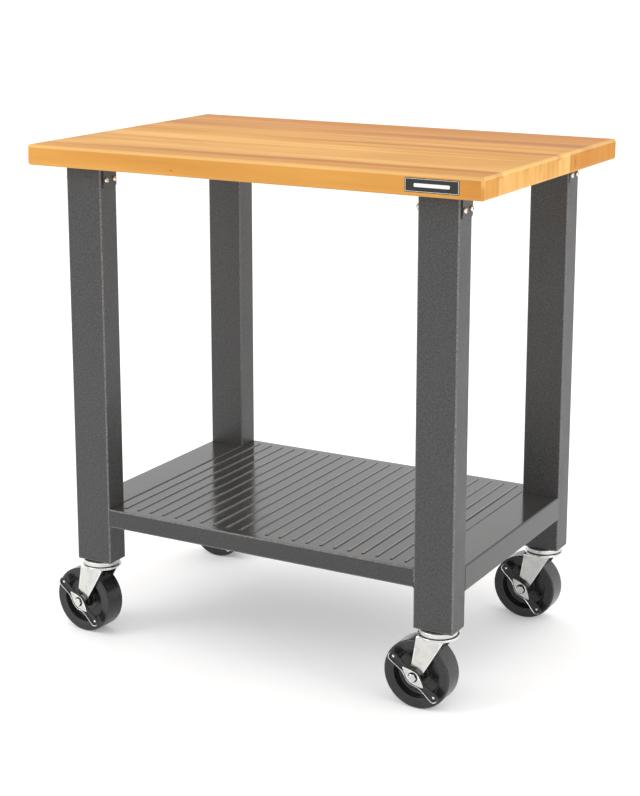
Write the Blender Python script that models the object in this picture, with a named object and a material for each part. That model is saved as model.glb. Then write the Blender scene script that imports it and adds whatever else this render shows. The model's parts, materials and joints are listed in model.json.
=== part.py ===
"""Butcher block work table on four swivel casters.

Units are metres and +Z is up. The origin is on the floor, under the middle of the top.
X runs along the long side, and the front of the table faces -Y.
"""
import math

import bmesh
import bpy
from mathutils import Matrix, Vector

GAP = 0.0003                    # left between pieces that touch

# Wood top
TOP_LENGTH = 0.9144
TOP_DEPTH = 0.6096
TOP_THICKNESS = 0.0381
TOP_HEIGHT = 0.9525             # floor to the upper face
TOP_ROUNDOVER = 0.005

# Nameplate, let into the front edge of the top
PLATE_WIDTH = 0.098
PLATE_HEIGHT = 0.0235
PLATE_THICKNESS = 0.0012
PLATE_POCKET = 0.0010           # how deep its pocket in the wood is
PLATE_FROM_SIDE = 0.0428        # right end of the plate to the right end of the top
PLATE_CORNER = 0.002

# Legs, rectangular tube
LEG_WIDTH = 0.076               # along X
LEG_DEPTH = 0.050               # along Y
LEG_WALL = 0.0018
LEG_CORNER = 0.003
FOOT_PLATE = 0.008              # welded plate that closes the leg and takes the caster stem
SIDE_OVERHANG = 0.0592          # end of the top to the outer face of the leg
FRONT_OVERHANG = 0.0385         # front or back of the top to the outer face of the leg

# Top brackets, bent sheet saddles
BRACKET_SHEET = 0.002
BRACKET_DROP = 0.040            # how far its flanges hang below the wood
BRACKET_SETBACK = 0.008         # outer face of the leg to the edge of the flange
BRACKET_INSET = 0.002           # other edge of the flange to the inner face of the leg
BRACKET_CORNER = 0.006
BOLT_DIAMETER = 0.006
BOLT_CLEARANCE = 0.0003         # radial, in every hole that a bolt passes
BOLT_SPACING = 0.0254
BOLT_DROP = 0.0254              # wood to the bolt line
BOLT_HEAD_DIAMETER = 0.0105
BOLT_HEAD_HEIGHT = 0.004
BOLT_TAIL = 0.008               # thread that stands out of the far flange
DOME_SHARE = 0.6                # of a domed head: the straight part of its height, the flat of its radius

# Side beams, rectangular tube between the front and back legs
BEAM_HEIGHT = 0.047
BEAM_RISE = 0.1116              # underside of the leg to the top of the beam
BEAM_WALL = 0.0018
BEAM_CORNER = 0.003

# Shelf pan
SHELF_DROP = 0.001              # top of the beam down to the flat sheet between the ribs
SHELF_SHEET = 0.0015
SHELF_LIP = 0.0355              # depth of its front and back lips and of its end flanges
RIB_PITCH = 0.02827
RIB_SIDE_MARGIN = 0.020         # least distance from the end of the pan to the middle of a rib
RIB_WIDTH = 0.0085
RIB_CREST = 0.0022              # width of the flat along the top of a rib
RIB_HEIGHT = 0.0017
RIB_MARGIN = 0.0175             # edge of the pan to the end of a rib
SCREW_DIAMETER = 0.005
SCREW_HEAD_DIAMETER = 0.010
SCREW_HEAD_HEIGHT = 0.003
SCREW_LENGTH = 0.012
SCREW_FROM_LEG = 0.066          # side face of a leg to the nearest screw
SCREW_DROP = 0.018              # below the top of the pan

# Casters
WHEEL_RADIUS = 0.0635
WHEEL_WIDTH = 0.044
WHEEL_TO_CROWN = 0.0085         # tread to the underside of the crown
TRAIL = 0.032                   # kingpin axis to axle
WHEEL_BAND = 0.017              # radial width of the flat outer band of each face
WHEEL_RECESS = 0.009            # depth of the dish inside the band
WHEEL_BAND_TAPER = 0.0008       # how far the band falls back towards its inner edge
WHEEL_BAND_SLOPE = 0.006        # radial run of the slope from the band down into the dish
WHEEL_WEB_FALL = 0.001          # how far the dish deepens towards the hub
WHEEL_SHOULDER = 0.0025
HUB_RADIUS = 0.015
HUB_TAPER = 0.002
HUB_END_GAP = 0.0015            # hub to the fork, each side
BUSH_RADIUS = 0.008
AXLE_DIAMETER = 0.0095
AXLE_CLEARANCE = 0.0003
NUT_ACROSS = 0.014              # across flats, axle head and nut
NUT_HEIGHT = 0.0065
AXLE_TAIL = 0.002               # thread past the nut
FORK_SHEET = 0.003
FORK_SIDE_GAP = 0.0025          # rim of the wheel to the fork, each side
FORK_BEND = 0.006
FORK_EYE_RADIUS = 0.010
FORK_FRONT = 0.024              # kingpin axis to the leading edge, at the crown
FORK_BACK = 0.030               # kingpin axis to the trailing edge, at the crown
CROWN_RADIUS = 0.0375
CROWN_RIM = 0.0035
CROWN_RIM_RISE = 0.002
RACE_RADIUS = 0.034
RACE_THICKNESS = 0.006
RACE_LIFT = 0.0052              # crown to the underside of the race, where the balls run
RACE_SKIRT = 0.0022
RACE_SKIRT_WALL = 0.003
BALL_RING_INNER = 0.018
BALL_RING_OUTER = 0.026
STEM_RADIUS = 0.006
STEM_LENGTH = 0.034
KINGPIN_RADIUS = 0.008
RIVET_RADIUS = 0.012
RIVET_HEIGHT = 0.004
RIVET_FLAT = 0.0084             # radius of the flat under the rivet

# Brake levers, on the front side of every caster
LEVER_REACH = 0.059             # axle to each tip
LEVER_TIP_RADIUS = 0.0082
LEVER_NECK = 0.0066             # half width where the middle meets each arm
LEVER_NECK_AT = 0.024           # axle to the neck
LEVER_WAIST = 0.0138            # half width at the axle
LEVER_SHEET = 0.0015
LEVER_RIM = 0.0040              # how far the rim stands out
LEVER_BOSS_RADIUS = 0.010
LEVER_BOSS = 0.0045             # fork to lever

# name, side along X, side along Y, swivel in degrees about +Z, lever tilt in degrees
CASTERS = (
    ("front_left", -1, -1, -4.0, 41.0),
    ("front_right", 1, -1, 0.0, 38.0),
    ("back_left", -1, 1, 0.0, 42.0),
    ("back_right", 1, 1, 0.0, 48.0),
)

# Heights and centres that follow from the sizes above
CROWN_UNDER = 2 * WHEEL_RADIUS + WHEEL_TO_CROWN
CROWN_TOP = CROWN_UNDER + FORK_SHEET
RACE_UNDER = CROWN_TOP + RACE_LIFT
RACE_TOP = RACE_UNDER + RACE_THICKNESS
LEG_FOOT_Z = RACE_TOP + GAP
BEAM_TOP_Z = LEG_FOOT_Z + BEAM_RISE
SHELF_TOP_Z = BEAM_TOP_Z - SHELF_DROP
WOOD_UNDERSIDE = TOP_HEIGHT - TOP_THICKNESS
LEG_TOP_Z = WOOD_UNDERSIDE - BRACKET_SHEET - 2 * GAP
LEG_X = TOP_LENGTH / 2 - SIDE_OVERHANG - LEG_WIDTH / 2
LEG_Y = TOP_DEPTH / 2 - FRONT_OVERHANG - LEG_DEPTH / 2
SHELF_HALF_X = LEG_X - LEG_WIDTH / 2 - GAP
SHELF_HALF_Y = LEG_Y + LEG_DEPTH / 2
BRACKET_DEPTH = LEG_DEPTH - BRACKET_SETBACK - BRACKET_INSET
BEAM_HALF = LEG_Y - LEG_DEPTH / 2 - GAP
RIB_COUNT = int(2 * (SHELF_HALF_X - RIB_SIDE_MARGIN) / RIB_PITCH) + 1
BOLT_Z = WOOD_UNDERSIDE - BOLT_DROP
FLANGE_OUTER = LEG_WIDTH / 2 + GAP + BRACKET_SHEET
SCREW_Z = SHELF_TOP_Z - SCREW_DROP
SCREW_Y = BEAM_HALF - SCREW_FROM_LEG
FORK_INNER = WHEEL_WIDTH / 2 + FORK_SIDE_GAP
FORK_OUTER = FORK_INNER + FORK_SHEET
HUB_HALF = FORK_INNER - HUB_END_GAP
LEVER_FLOOR_INNER = FORK_OUTER + LEVER_BOSS
LEVER_FLOOR_OUTER = LEVER_FLOOR_INNER + LEVER_SHEET

MATERIALS = {}


def material(name, color, roughness, metallic):
    """A Principled material, made once for each name."""
    if name not in MATERIALS:
        made = bpy.data.materials.new(name)
        made.use_nodes = True
        shader = made.node_tree.nodes["Principled BSDF"]
        shader.inputs["Base Color"].default_value = (*color, 1.0)
        shader.inputs["Roughness"].default_value = roughness
        shader.inputs["Metallic"].default_value = metallic
        MATERIALS[name] = made
    return MATERIALS[name]


def wood():
    return material("maple_lacquered", (0.78, 0.43, 0.13), 0.35, 0.0)


def painted_steel():
    return material("grey_hammer_paint", (0.095, 0.092, 0.093), 0.42, 0.6)


def zinc():
    return material("bright_zinc", (0.72, 0.72, 0.69), 0.22, 1.0)


def black_plate():
    return material("black_plate", (0.012, 0.012, 0.013), 0.35, 0.0)


def wheel_black():
    return material("black_phenolic", (0.02, 0.02, 0.02), 0.22, 0.0)


def brass_bush():
    return material("sintered_bush", (0.35, 0.27, 0.14), 0.4, 1.0)


def clear_scene():
    for item in list(bpy.data.objects):
        bpy.data.objects.remove(item)


def add_object(name, bm, finish, parent=None, location=(0, 0, 0), turn=None):
    """Store a bmesh as a named object; an object without a finish is a cutter."""
    bmesh.ops.recalc_face_normals(bm, faces=bm.faces)
    mesh = bpy.data.meshes.new(name)
    bm.to_mesh(mesh)
    bm.free()
    mesh.shade_smooth()
    mesh.set_sharp_from_angle(angle=math.radians(35))
    item = bpy.data.objects.new(name, mesh)
    bpy.context.collection.objects.link(item)
    item.parent = parent
    item.location = location
    if turn is not None:
        item.rotation_euler = turn
    if finish is None:
        item.hide_render = True
        item.display_type = "WIRE"
    else:
        mesh.materials.append(finish)
    return item


def add_empty(name, location, parent=None, turn=(0, 0, 0)):
    empty = bpy.data.objects.new(name, None)
    bpy.context.collection.objects.link(empty)
    empty.parent = parent
    empty.location = location
    empty.rotation_euler = turn
    return empty


def boolean(target, tool, operation="DIFFERENCE"):
    """Cut, join or intersect with another object by an exact Boolean."""
    modifier = target.modifiers.new(operation.lower(), "BOOLEAN")
    modifier.operation = operation
    modifier.solver = "EXACT"
    modifier.object = tool


def prism(outline, low, high, axis="Z"):
    """Extrude a closed outline of 2-D points from low to high along an axis.

    The outline's plane is (x, y) for axis Z, (x, z) for axis Y and (y, z) for axis X.
    """
    def place(point, level):
        u, v = point
        return {"Z": (u, v, level), "Y": (u, level, v), "X": (level, u, v)}[axis]

    bm = bmesh.new()
    base = bm.faces.new([bm.verts.new(place(point, low)) for point in outline])
    raised = bmesh.ops.extrude_face_region(bm, geom=[base])["geom"]
    shift = Vector(place((0, 0), high)) - Vector(place((0, 0), low))
    bmesh.ops.translate(bm, vec=shift, verts=[v for v in raised if isinstance(v, bmesh.types.BMVert)])
    return bm


def arc(center, radius, start, end, steps):
    """Points along an arc, angles in degrees, both ends included."""
    turns = [math.radians(start + (end - start) * i / steps) for i in range(steps + 1)]
    return [(center[0] + radius * math.cos(t), center[1] + radius * math.sin(t)) for t in turns]


def rounded_rectangle(center, width, height, radius, steps=2):
    """Outline of a rectangle with round corners, counter-clockwise."""
    points = []
    for quarter, (sx, sy) in enumerate(((1, 1), (-1, 1), (-1, -1), (1, -1))):
        corner = (center[0] + sx * (width / 2 - radius), center[1] + sy * (height / 2 - radius))
        points += arc(corner, radius, 90 * quarter, 90 * quarter + 90, steps)
    return points


def box(x0, x1, y0, y1, z0, z1):
    return prism([(x0, y0), (x1, y0), (x1, y1), (x0, y1)], z0, z1)


def cylinder(radius, low, high, axis="Z", center=(0, 0), segments=16):
    """A round bar along an axis, with its flats touching the stated radius."""
    reach = radius / math.cos(math.pi / segments)
    outline = arc(center, reach, 0, 360, segments)[:-1]
    return prism(outline, low, high, axis)


def hexagon(across, low, high, axis):
    return prism(arc((0, 0), across / math.sqrt(3), 0, 360, 6)[:-1], low, high, axis)


def turned(profile, segments):
    """Spin a profile of (radius, height) points about Z; a profile off the axis is a closed ring."""
    bm = bmesh.new()
    verts = [bm.verts.new((radius, 0, height)) for radius, height in profile]
    edges = [bm.edges.new(pair) for pair in zip(verts, verts[1:])]
    if profile[0][0] > 0:
        edges.append(bm.edges.new((verts[-1], verts[0])))
    bmesh.ops.spin(bm, geom=verts + edges, cent=(0, 0, 0), axis=(0, 0, 1),
                   angle=2 * math.pi, steps=segments, use_merge=True)
    bmesh.ops.remove_doubles(bm, verts=bm.verts, dist=1e-6)
    return bm


def along_y(bm, half_step=0.0):
    """Turn a bmesh so that its Z axis lies along +Y, after an optional turn about that axis."""
    turn = Matrix.Rotation(-math.pi / 2, 4, "X") @ Matrix.Rotation(half_step, 4, "Z")
    bmesh.ops.transform(bm, matrix=turn, verts=bm.verts)
    return bm


def merge_into(bm, other):
    """Add another bmesh's shapes to this one."""
    spare = bpy.data.meshes.new("spare")
    other.to_mesh(spare)
    other.free()
    bm.from_mesh(spare)
    bpy.data.meshes.remove(spare)
    return bm


# ---------------------------------------------------------------- wood top

def make_tabletop():
    bm = box(-TOP_LENGTH / 2, TOP_LENGTH / 2, -TOP_DEPTH / 2, TOP_DEPTH / 2, WOOD_UNDERSIDE, TOP_HEIGHT)
    tabletop = add_object("tabletop", bm, wood())
    bevel = tabletop.modifiers.new("roundover", "BEVEL")
    bevel.width = TOP_ROUNDOVER
    bevel.segments = 3
    return tabletop


def make_nameplate(tabletop):
    center = (TOP_LENGTH / 2 - PLATE_FROM_SIDE - PLATE_WIDTH / 2, TOP_HEIGHT - TOP_THICKNESS / 2)
    pocket_floor = -TOP_DEPTH / 2 + PLATE_POCKET
    outline = rounded_rectangle(center, PLATE_WIDTH, PLATE_HEIGHT, PLATE_CORNER)
    back = pocket_floor - GAP
    add_object("nameplate", prism(outline, back - PLATE_THICKNESS, back, "Y"), black_plate())
    opening = rounded_rectangle(center, PLATE_WIDTH + 2 * GAP, PLATE_HEIGHT + 2 * GAP, PLATE_CORNER + GAP)
    outside = -TOP_DEPTH / 2 - PLATE_THICKNESS
    boolean(tabletop, add_object("pocket_cutter", prism(opening, outside, pocket_floor, "Y"), None))


# ---------------------------------------------------------------- frame

def bolt_rows(side_y):
    """Y of the two bracket bolts of a leg."""
    flange_middle = flange_outer_y(side_y) - side_y * BRACKET_DEPTH / 2
    return [flange_middle - BOLT_SPACING / 2, flange_middle + BOLT_SPACING / 2]


def flange_outer_y(side_y):
    return side_y * (LEG_Y + LEG_DEPTH / 2 - BRACKET_SETBACK)


def make_leg(name, side_x, side_y):
    x, y = side_x * LEG_X, side_y * LEG_Y
    shell = prism(rounded_rectangle((x, y), LEG_WIDTH, LEG_DEPTH, LEG_CORNER), LEG_FOOT_Z, LEG_TOP_Z)
    leg = add_object("leg_" + name, shell, painted_steel())
    hollow = rounded_rectangle((x, y), LEG_WIDTH - 2 * LEG_WALL, LEG_DEPTH - 2 * LEG_WALL,
                               max(LEG_CORNER - LEG_WALL, GAP))
    above = LEG_TOP_Z + FOOT_PLATE
    cutter = prism(hollow, LEG_FOOT_Z + FOOT_PLATE, above)
    boolean(leg, add_object("leg_hollow_" + name, cutter, None))
    hole = cylinder(STEM_RADIUS + GAP, LEG_FOOT_Z - FOOT_PLATE, LEG_FOOT_Z + 2 * FOOT_PLATE, "Z", (x, y))
    boolean(leg, add_object("stem_hole_" + name, hole, None))
    return leg


def make_bracket(name, side_x, side_y):
    """A bent sheet: a flat under the wood and a flange down each side of the leg."""
    x = side_x * LEG_X
    near = flange_outer_y(side_y)
    far = near - side_y * BRACKET_DEPTH
    top = WOOD_UNDERSIDE - GAP
    foot = WOOD_UNDERSIDE - BRACKET_DROP
    inner = LEG_WIDTH / 2 + GAP
    outline = [(x - FLANGE_OUTER, foot), (x - inner, foot), (x - inner, top - BRACKET_SHEET),
               (x + inner, top - BRACKET_SHEET), (x + inner, foot), (x + FLANGE_OUTER, foot),
               (x + FLANGE_OUTER, top), (x - FLANGE_OUTER, top)]
    bm = prism(outline, min(near, far), max(near, far), "Y")
    corners = [edge for edge in bm.edges if all(abs(v.co.z - foot) < GAP for v in edge.verts)
               and abs(edge.verts[0].co.y - edge.verts[1].co.y) < GAP]
    bmesh.ops.bevel(bm, geom=corners, offset=BRACKET_CORNER, segments=3, profile=0.5, affect="EDGES")
    return add_object("bracket_" + name, bm, painted_steel())


def make_bracket_bolts(name, side_x, side_y, leg, bracket):
    """Two through bolts; each passes both flanges and both walls of the leg."""
    x = side_x * LEG_X
    hole_reach = FLANGE_OUTER + BOLT_TAIL
    holes = bmesh.new()
    for place, y in zip(("a", "b"), bolt_rows(side_y)):
        head_start = x + FLANGE_OUTER + GAP
        bm = bolt(BOLT_DIAMETER / 2, x - FLANGE_OUTER - BOLT_TAIL, head_start,
                  BOLT_HEAD_DIAMETER / 2, head_start + BOLT_HEAD_HEIGHT)
        add_object(f"bracket_bolt_{name}_{place}", bm, zinc(), location=(0, y, BOLT_Z))
        merge_into(holes, cylinder(BOLT_DIAMETER / 2 + BOLT_CLEARANCE, x - hole_reach, x + hole_reach,
                                   "X", (y, BOLT_Z), 8))
    cutter = add_object("bolt_holes_" + name, holes, None)
    boolean(leg, cutter)
    boolean(bracket, cutter)


def bolt(shank_radius, tail, head_start, head_radius, head_end):
    """A bolt along +X with a low domed head, as one turned solid."""
    rise = head_end - head_start
    profile = [(0, tail), (shank_radius, tail), (shank_radius, head_start), (head_radius, head_start),
               (head_radius, head_start + DOME_SHARE * rise), (DOME_SHARE * head_radius, head_end),
               (0, head_end)]
    bm = turned(profile, 10)
    bmesh.ops.transform(bm, matrix=Matrix.Rotation(math.pi / 2, 4, "Y"), verts=bm.verts)
    return bm


def make_beam(name, side_x):
    """Rectangular tube along Y, between the front and back leg of one side."""
    x = side_x * LEG_X
    center = (x, BEAM_TOP_Z - BEAM_HEIGHT / 2)
    tube = prism(rounded_rectangle(center, LEG_WIDTH, BEAM_HEIGHT, BEAM_CORNER), -BEAM_HALF, BEAM_HALF, "Y")
    beam = add_object("side_beam_" + name, tube, painted_steel())
    hollow = rounded_rectangle(center, LEG_WIDTH - 2 * BEAM_WALL, BEAM_HEIGHT - 2 * BEAM_WALL,
                               max(BEAM_CORNER - BEAM_WALL, GAP))
    past = BEAM_HALF + LEG_DEPTH
    boolean(beam, add_object("beam_hollow_" + name, prism(hollow, -past, past, "Y"), None))
    return beam


def make_shelf():
    """A pan turned down on all four sides, with ribs standing up across its top."""
    foot = SHELF_TOP_Z - SHELF_LIP
    bm = box(-SHELF_HALF_X, SHELF_HALF_X, -SHELF_HALF_Y, SHELF_HALF_Y, foot, SHELF_TOP_Z)
    shelf = add_object("shelf", bm, painted_steel())
    inner_x, inner_y = SHELF_HALF_X - SHELF_SHEET, SHELF_HALF_Y - SHELF_SHEET
    hollow = box(-inner_x, inner_x, -inner_y, inner_y, foot - SHELF_LIP, SHELF_TOP_Z - SHELF_SHEET)
    boolean(shelf, add_object("pan_hollow", hollow, None))
    boolean(shelf, add_object("pan_ribs", make_ribs(), None), "UNION")
    return shelf


def make_ribs():
    """All the ribs: trapezoids across X, with sloping ends, rooted in the sheet."""
    bm = bmesh.new()
    root = SHELF_TOP_Z - SHELF_SHEET / 2
    half_y = SHELF_HALF_Y - RIB_MARGIN
    slope = (RIB_WIDTH - RIB_CREST) / 2
    for index in range(RIB_COUNT):
        x = (index - (RIB_COUNT - 1) / 2) * RIB_PITCH
        levels = []
        for z, inset in ((root, 0), (SHELF_TOP_Z, 0), (SHELF_TOP_Z + RIB_HEIGHT, slope)):
            half_x, reach = RIB_WIDTH / 2 - inset, half_y - inset
            corners = ((-half_x, -reach), (half_x, -reach), (half_x, reach), (-half_x, reach))
            levels.append([bm.verts.new((x + u, v, z)) for u, v in corners])
        for lower, upper in zip(levels, levels[1:]):
            for i in range(4):
                bm.faces.new((lower[i], lower[(i + 1) % 4], upper[(i + 1) % 4], upper[i]))
        bm.faces.new(levels[0][::-1])
        bm.faces.new(levels[-1])
    return bm


def make_shelf_screws(shelf, beams):
    """Screws from inside the pan through its end flange into the side beam."""
    seat = SHELF_HALF_X - SHELF_SHEET - GAP
    for side, beam in beams.items():
        sign = 1 if side == "right" else -1
        holes = bmesh.new()
        for place, y in (("front", -SCREW_Y), ("back", SCREW_Y)):
            bm = bolt(SCREW_DIAMETER / 2, -SCREW_LENGTH, 0, SCREW_HEAD_DIAMETER / 2, SCREW_HEAD_HEIGHT)
            turn = (0, 0, math.pi) if sign > 0 else (0, 0, 0)
            seat_point = (sign * seat, y, SCREW_Z)
            add_object(f"shelf_screw_{side}_{place}", bm, zinc(), location=seat_point, turn=turn)
            ends = sorted((sign * (seat - SCREW_LENGTH), sign * (seat + SCREW_LENGTH)))
            merge_into(holes, cylinder(SCREW_DIAMETER / 2 + BOLT_CLEARANCE, *ends, "X", (y, SCREW_Z), 8))
        cutter = add_object("screw_holes_" + side, holes, None)
        boolean(shelf, cutter)
        boolean(beam, cutter)


# ---------------------------------------------------------------- casters

def stem_mesh():
    """Stem, upper race, kingpin and its rivet head, in one turned piece."""
    skirt = RACE_RADIUS - RACE_SKIRT_WALL
    rivet_top = CROWN_UNDER - GAP
    rivet_foot = rivet_top - RIVET_HEIGHT
    profile = [
        (0, LEG_FOOT_Z + STEM_LENGTH), (STEM_RADIUS, LEG_FOOT_Z + STEM_LENGTH), (STEM_RADIUS, RACE_TOP),
        (RACE_RADIUS, RACE_TOP), (RACE_RADIUS, RACE_UNDER - RACE_SKIRT), (skirt, RACE_UNDER - RACE_SKIRT),
        (skirt, RACE_UNDER), (KINGPIN_RADIUS, RACE_UNDER), (KINGPIN_RADIUS, rivet_top),
        (RIVET_RADIUS, rivet_top), (RIVET_RADIUS, rivet_foot + RIVET_HEIGHT / 2),
        (RIVET_FLAT, rivet_foot), (0, rivet_foot),
    ]
    return turned(profile, 20)


def ball_ring_mesh():
    foot, top = CROWN_TOP + GAP, RACE_UNDER - GAP
    middle = (BALL_RING_INNER + BALL_RING_OUTER) / 2
    level = (foot + top) / 2
    profile = [(BALL_RING_INNER, level), (middle, foot), (BALL_RING_OUTER, level), (middle, top)]
    return turned(profile, 16)


def fork_side_outline():
    """Side view of the fork: wide at the crown, tapering to a round eye at the axle."""
    eye = (-TRAIL, WHEEL_RADIUS)
    back_top, front_top = (-FORK_BACK, CROWN_TOP), (FORK_FRONT, CROWN_TOP)
    start = tangent_angle(eye, back_top, 1)
    end = tangent_angle(eye, front_top, -1)
    around = arc(eye, FORK_EYE_RADIUS, start, end + 360, 6)
    return [back_top] + around + [front_top]


def tangent_angle(center, point, side):
    """Angle in degrees at which a line from the point touches the eye's circle."""
    dx, dz = point[0] - center[0], point[1] - center[1]
    toward = math.degrees(math.atan2(dz, dx))
    return toward + side * math.degrees(math.acos(FORK_EYE_RADIUS / math.hypot(dx, dz)))


def make_fork(name, swivel):
    """A bent U of sheet, trimmed to the side outline and joined to a round crown."""
    bend = (FORK_OUTER - FORK_BEND, CROWN_TOP - FORK_BEND)
    outer = arc(bend, FORK_BEND, 0, 90, 3)
    inner = arc(bend, FORK_BEND - FORK_SHEET, 90, 0, 2)
    below = WHEEL_RADIUS - 2 * FORK_EYE_RADIUS
    top_half = [(FORK_OUTER, below)] + outer
    under_half = inner + [(FORK_INNER, below)]
    top_side = top_half + [(-y, z) for y, z in reversed(top_half)]
    outline = top_side + [(-y, z) for y, z in reversed(under_half)] + under_half
    reach = CROWN_RADIUS + FORK_BACK + TRAIL
    fork = add_object("fork_" + name, prism(outline, -reach, reach, "X"), zinc(), swivel)
    trim = prism(fork_side_outline(), -CROWN_RADIUS - FORK_OUTER, CROWN_RADIUS + FORK_OUTER, "Y")
    boolean(fork, add_object("fork_trim_" + name, trim, None, swivel), "INTERSECT")
    rim_in = CROWN_RADIUS - CROWN_RIM
    crown = turned([(KINGPIN_RADIUS + GAP, CROWN_UNDER), (rim_in, CROWN_UNDER),
                    (CROWN_RADIUS, CROWN_UNDER + GAP), (CROWN_RADIUS, CROWN_TOP + CROWN_RIM_RISE / 2),
                    (CROWN_RADIUS - CROWN_RIM / 3, CROWN_TOP + CROWN_RIM_RISE),
                    (CROWN_RADIUS - 2 * CROWN_RIM / 3, CROWN_TOP + CROWN_RIM_RISE),
                    (rim_in, CROWN_TOP - GAP), (KINGPIN_RADIUS + GAP, CROWN_TOP - GAP)], 24)
    boolean(fork, add_object("crown_" + name, crown, None, swivel), "UNION")
    bore = cylinder(KINGPIN_RADIUS + GAP, CROWN_UNDER - FORK_SHEET, CROWN_TOP + FORK_SHEET, segments=16)
    boolean(fork, add_object("kingpin_bore_" + name, bore, None, swivel))
    eye = cylinder(AXLE_DIAMETER / 2 + AXLE_CLEARANCE, -2 * FORK_OUTER, 2 * FORK_OUTER, "Y",
                   (-TRAIL, WHEEL_RADIUS))
    boolean(fork, add_object("axle_eye_" + name, eye, None, swivel))


def wheel_mesh():
    """Wheel about its own Y axis: a flat outer band, a dished web and a hub on each face."""
    half = WHEEL_WIDTH / 2
    band_inner = WHEEL_RADIUS - WHEEL_BAND
    bore = BUSH_RADIUS + GAP
    segments = 32
    flat = 1 / math.cos(math.pi / segments)
    face = [(HUB_RADIUS, HUB_HALF), (HUB_RADIUS + HUB_TAPER, half - WHEEL_RECESS - WHEEL_WEB_FALL),
            (band_inner - WHEEL_BAND_SLOPE, half - WHEEL_RECESS), (band_inner, half - WHEEL_BAND_TAPER),
            (WHEEL_RADIUS - WHEEL_SHOULDER, half), (WHEEL_RADIUS, half - WHEEL_SHOULDER)]
    profile = [(bore, HUB_HALF)] + face + [(r, -h) for r, h in reversed(face)] + [(bore, -HUB_HALF)]
    grown = [(r * flat, h) for r, h in profile]
    return along_y(turned(grown, segments), math.pi / segments)


def bush_mesh():
    half = FORK_INNER - GAP
    bore = AXLE_DIAMETER / 2 + AXLE_CLEARANCE
    return along_y(turned([(bore, -half), (BUSH_RADIUS, -half), (BUSH_RADIUS, half), (bore, half)], 16))


def axle_mesh():
    """Axle bolt about its own Y axis: hex head in front of the lever, thread behind the nut."""
    head_back = -LEVER_FLOOR_OUTER - GAP
    head_front = head_back - NUT_HEIGHT
    tail = FORK_OUTER + GAP + NUT_HEIGHT + AXLE_TAIL
    overlap = NUT_HEIGHT / 2
    shank = cylinder(AXLE_DIAMETER / 2, head_back - overlap, tail, "Y", segments=16)
    return hexagon(NUT_ACROSS, head_front, head_back, "Y"), shank


def nut_mesh():
    start = FORK_OUTER + GAP
    return (hexagon(NUT_ACROSS, start, start + NUT_HEIGHT, "Y"),
            cylinder(AXLE_DIAMETER / 2 + GAP, start - NUT_HEIGHT, start + 2 * NUT_HEIGHT, "Y", segments=16))


def lever_half_width(x):
    """Half width of the lever at a distance from the axle: wide middle, slim neck, round paddle."""
    straight = LEVER_REACH - LEVER_TIP_RADIUS
    if x < LEVER_NECK_AT:
        share = 0.5 + 0.5 * math.cos(math.pi * x / LEVER_NECK_AT)
        return LEVER_NECK + share * (LEVER_WAIST - LEVER_NECK)
    share = 0.5 - 0.5 * math.cos(math.pi * (x - LEVER_NECK_AT) / (straight - LEVER_NECK_AT))
    return LEVER_NECK + share * (LEVER_TIP_RADIUS - LEVER_NECK)


def lever_outline(inset=0.0):
    """A spindle of two paddles, counter-clockwise, drawn in from its edge by the inset."""
    straight = LEVER_REACH - LEVER_TIP_RADIUS
    steps = 6
    places = [straight * (1 - i / steps) for i in range(1, 2 * steps)]
    upper = [(x, lever_half_width(abs(x)) - inset) for x in places]
    right = arc((straight, 0), LEVER_TIP_RADIUS - inset, -90, 90, 4)
    left = arc((-straight, 0), LEVER_TIP_RADIUS - inset, 90, 270, 4)
    lower = [(-x, -width) for x, width in upper]
    return right + upper + left + lower


def make_lever(name, axle, tilt):
    """A stamped tray with a rim facing out, a boss towards the fork and a hole for the axle."""
    turn = (0, math.radians(tilt), 0)
    tray = prism(lever_outline(), -LEVER_FLOOR_OUTER - LEVER_RIM, -LEVER_FLOOR_INNER, "Y")
    lever = add_object("brake_lever_" + name, tray, zinc(), axle, turn=turn)
    past = LEVER_FLOOR_OUTER + 2 * LEVER_RIM
    inside = prism(lever_outline(LEVER_SHEET), -past, -LEVER_FLOOR_OUTER, "Y")
    boolean(lever, add_object("lever_hollow_" + name, inside, None, axle, turn=turn))
    into_floor = -LEVER_FLOOR_INNER - LEVER_SHEET / 2
    boss = cylinder(LEVER_BOSS_RADIUS, into_floor, -FORK_OUTER - GAP, "Y", segments=16)
    boolean(lever, add_object("lever_boss_" + name, boss, None, axle, turn=turn), "UNION")
    hole = cylinder(AXLE_DIAMETER / 2 + AXLE_CLEARANCE, -past, 0, "Y", segments=16)
    boolean(lever, add_object("lever_hole_" + name, hole, None, axle, turn=turn))


def make_caster(name, side_x, side_y, swivel_angle, tilt):
    swivel = add_empty("swivel_" + name, (side_x * LEG_X, side_y * LEG_Y, 0),
                       turn=(0, 0, math.radians(swivel_angle)))
    axle = add_empty("axle_center_" + name, (-TRAIL, 0, WHEEL_RADIUS), swivel)
    add_object("caster_stem_" + name, stem_mesh(), zinc(), swivel)
    add_object("ball_ring_" + name, ball_ring_mesh(), zinc(), swivel)
    make_fork(name, swivel)
    add_object("wheel_" + name, wheel_mesh(), wheel_black(), axle)
    add_object("bush_" + name, bush_mesh(), brass_bush(), axle)
    head, shank = axle_mesh()
    bolt_item = add_object("axle_bolt_" + name, head, zinc(), axle)
    boolean(bolt_item, add_object("axle_shank_" + name, shank, None, axle), "UNION")
    body, bore = nut_mesh()
    nut = add_object("axle_nut_" + name, body, zinc(), axle)
    boolean(nut, add_object("nut_bore_" + name, bore, None, axle))
    make_lever(name, axle, tilt)


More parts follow.
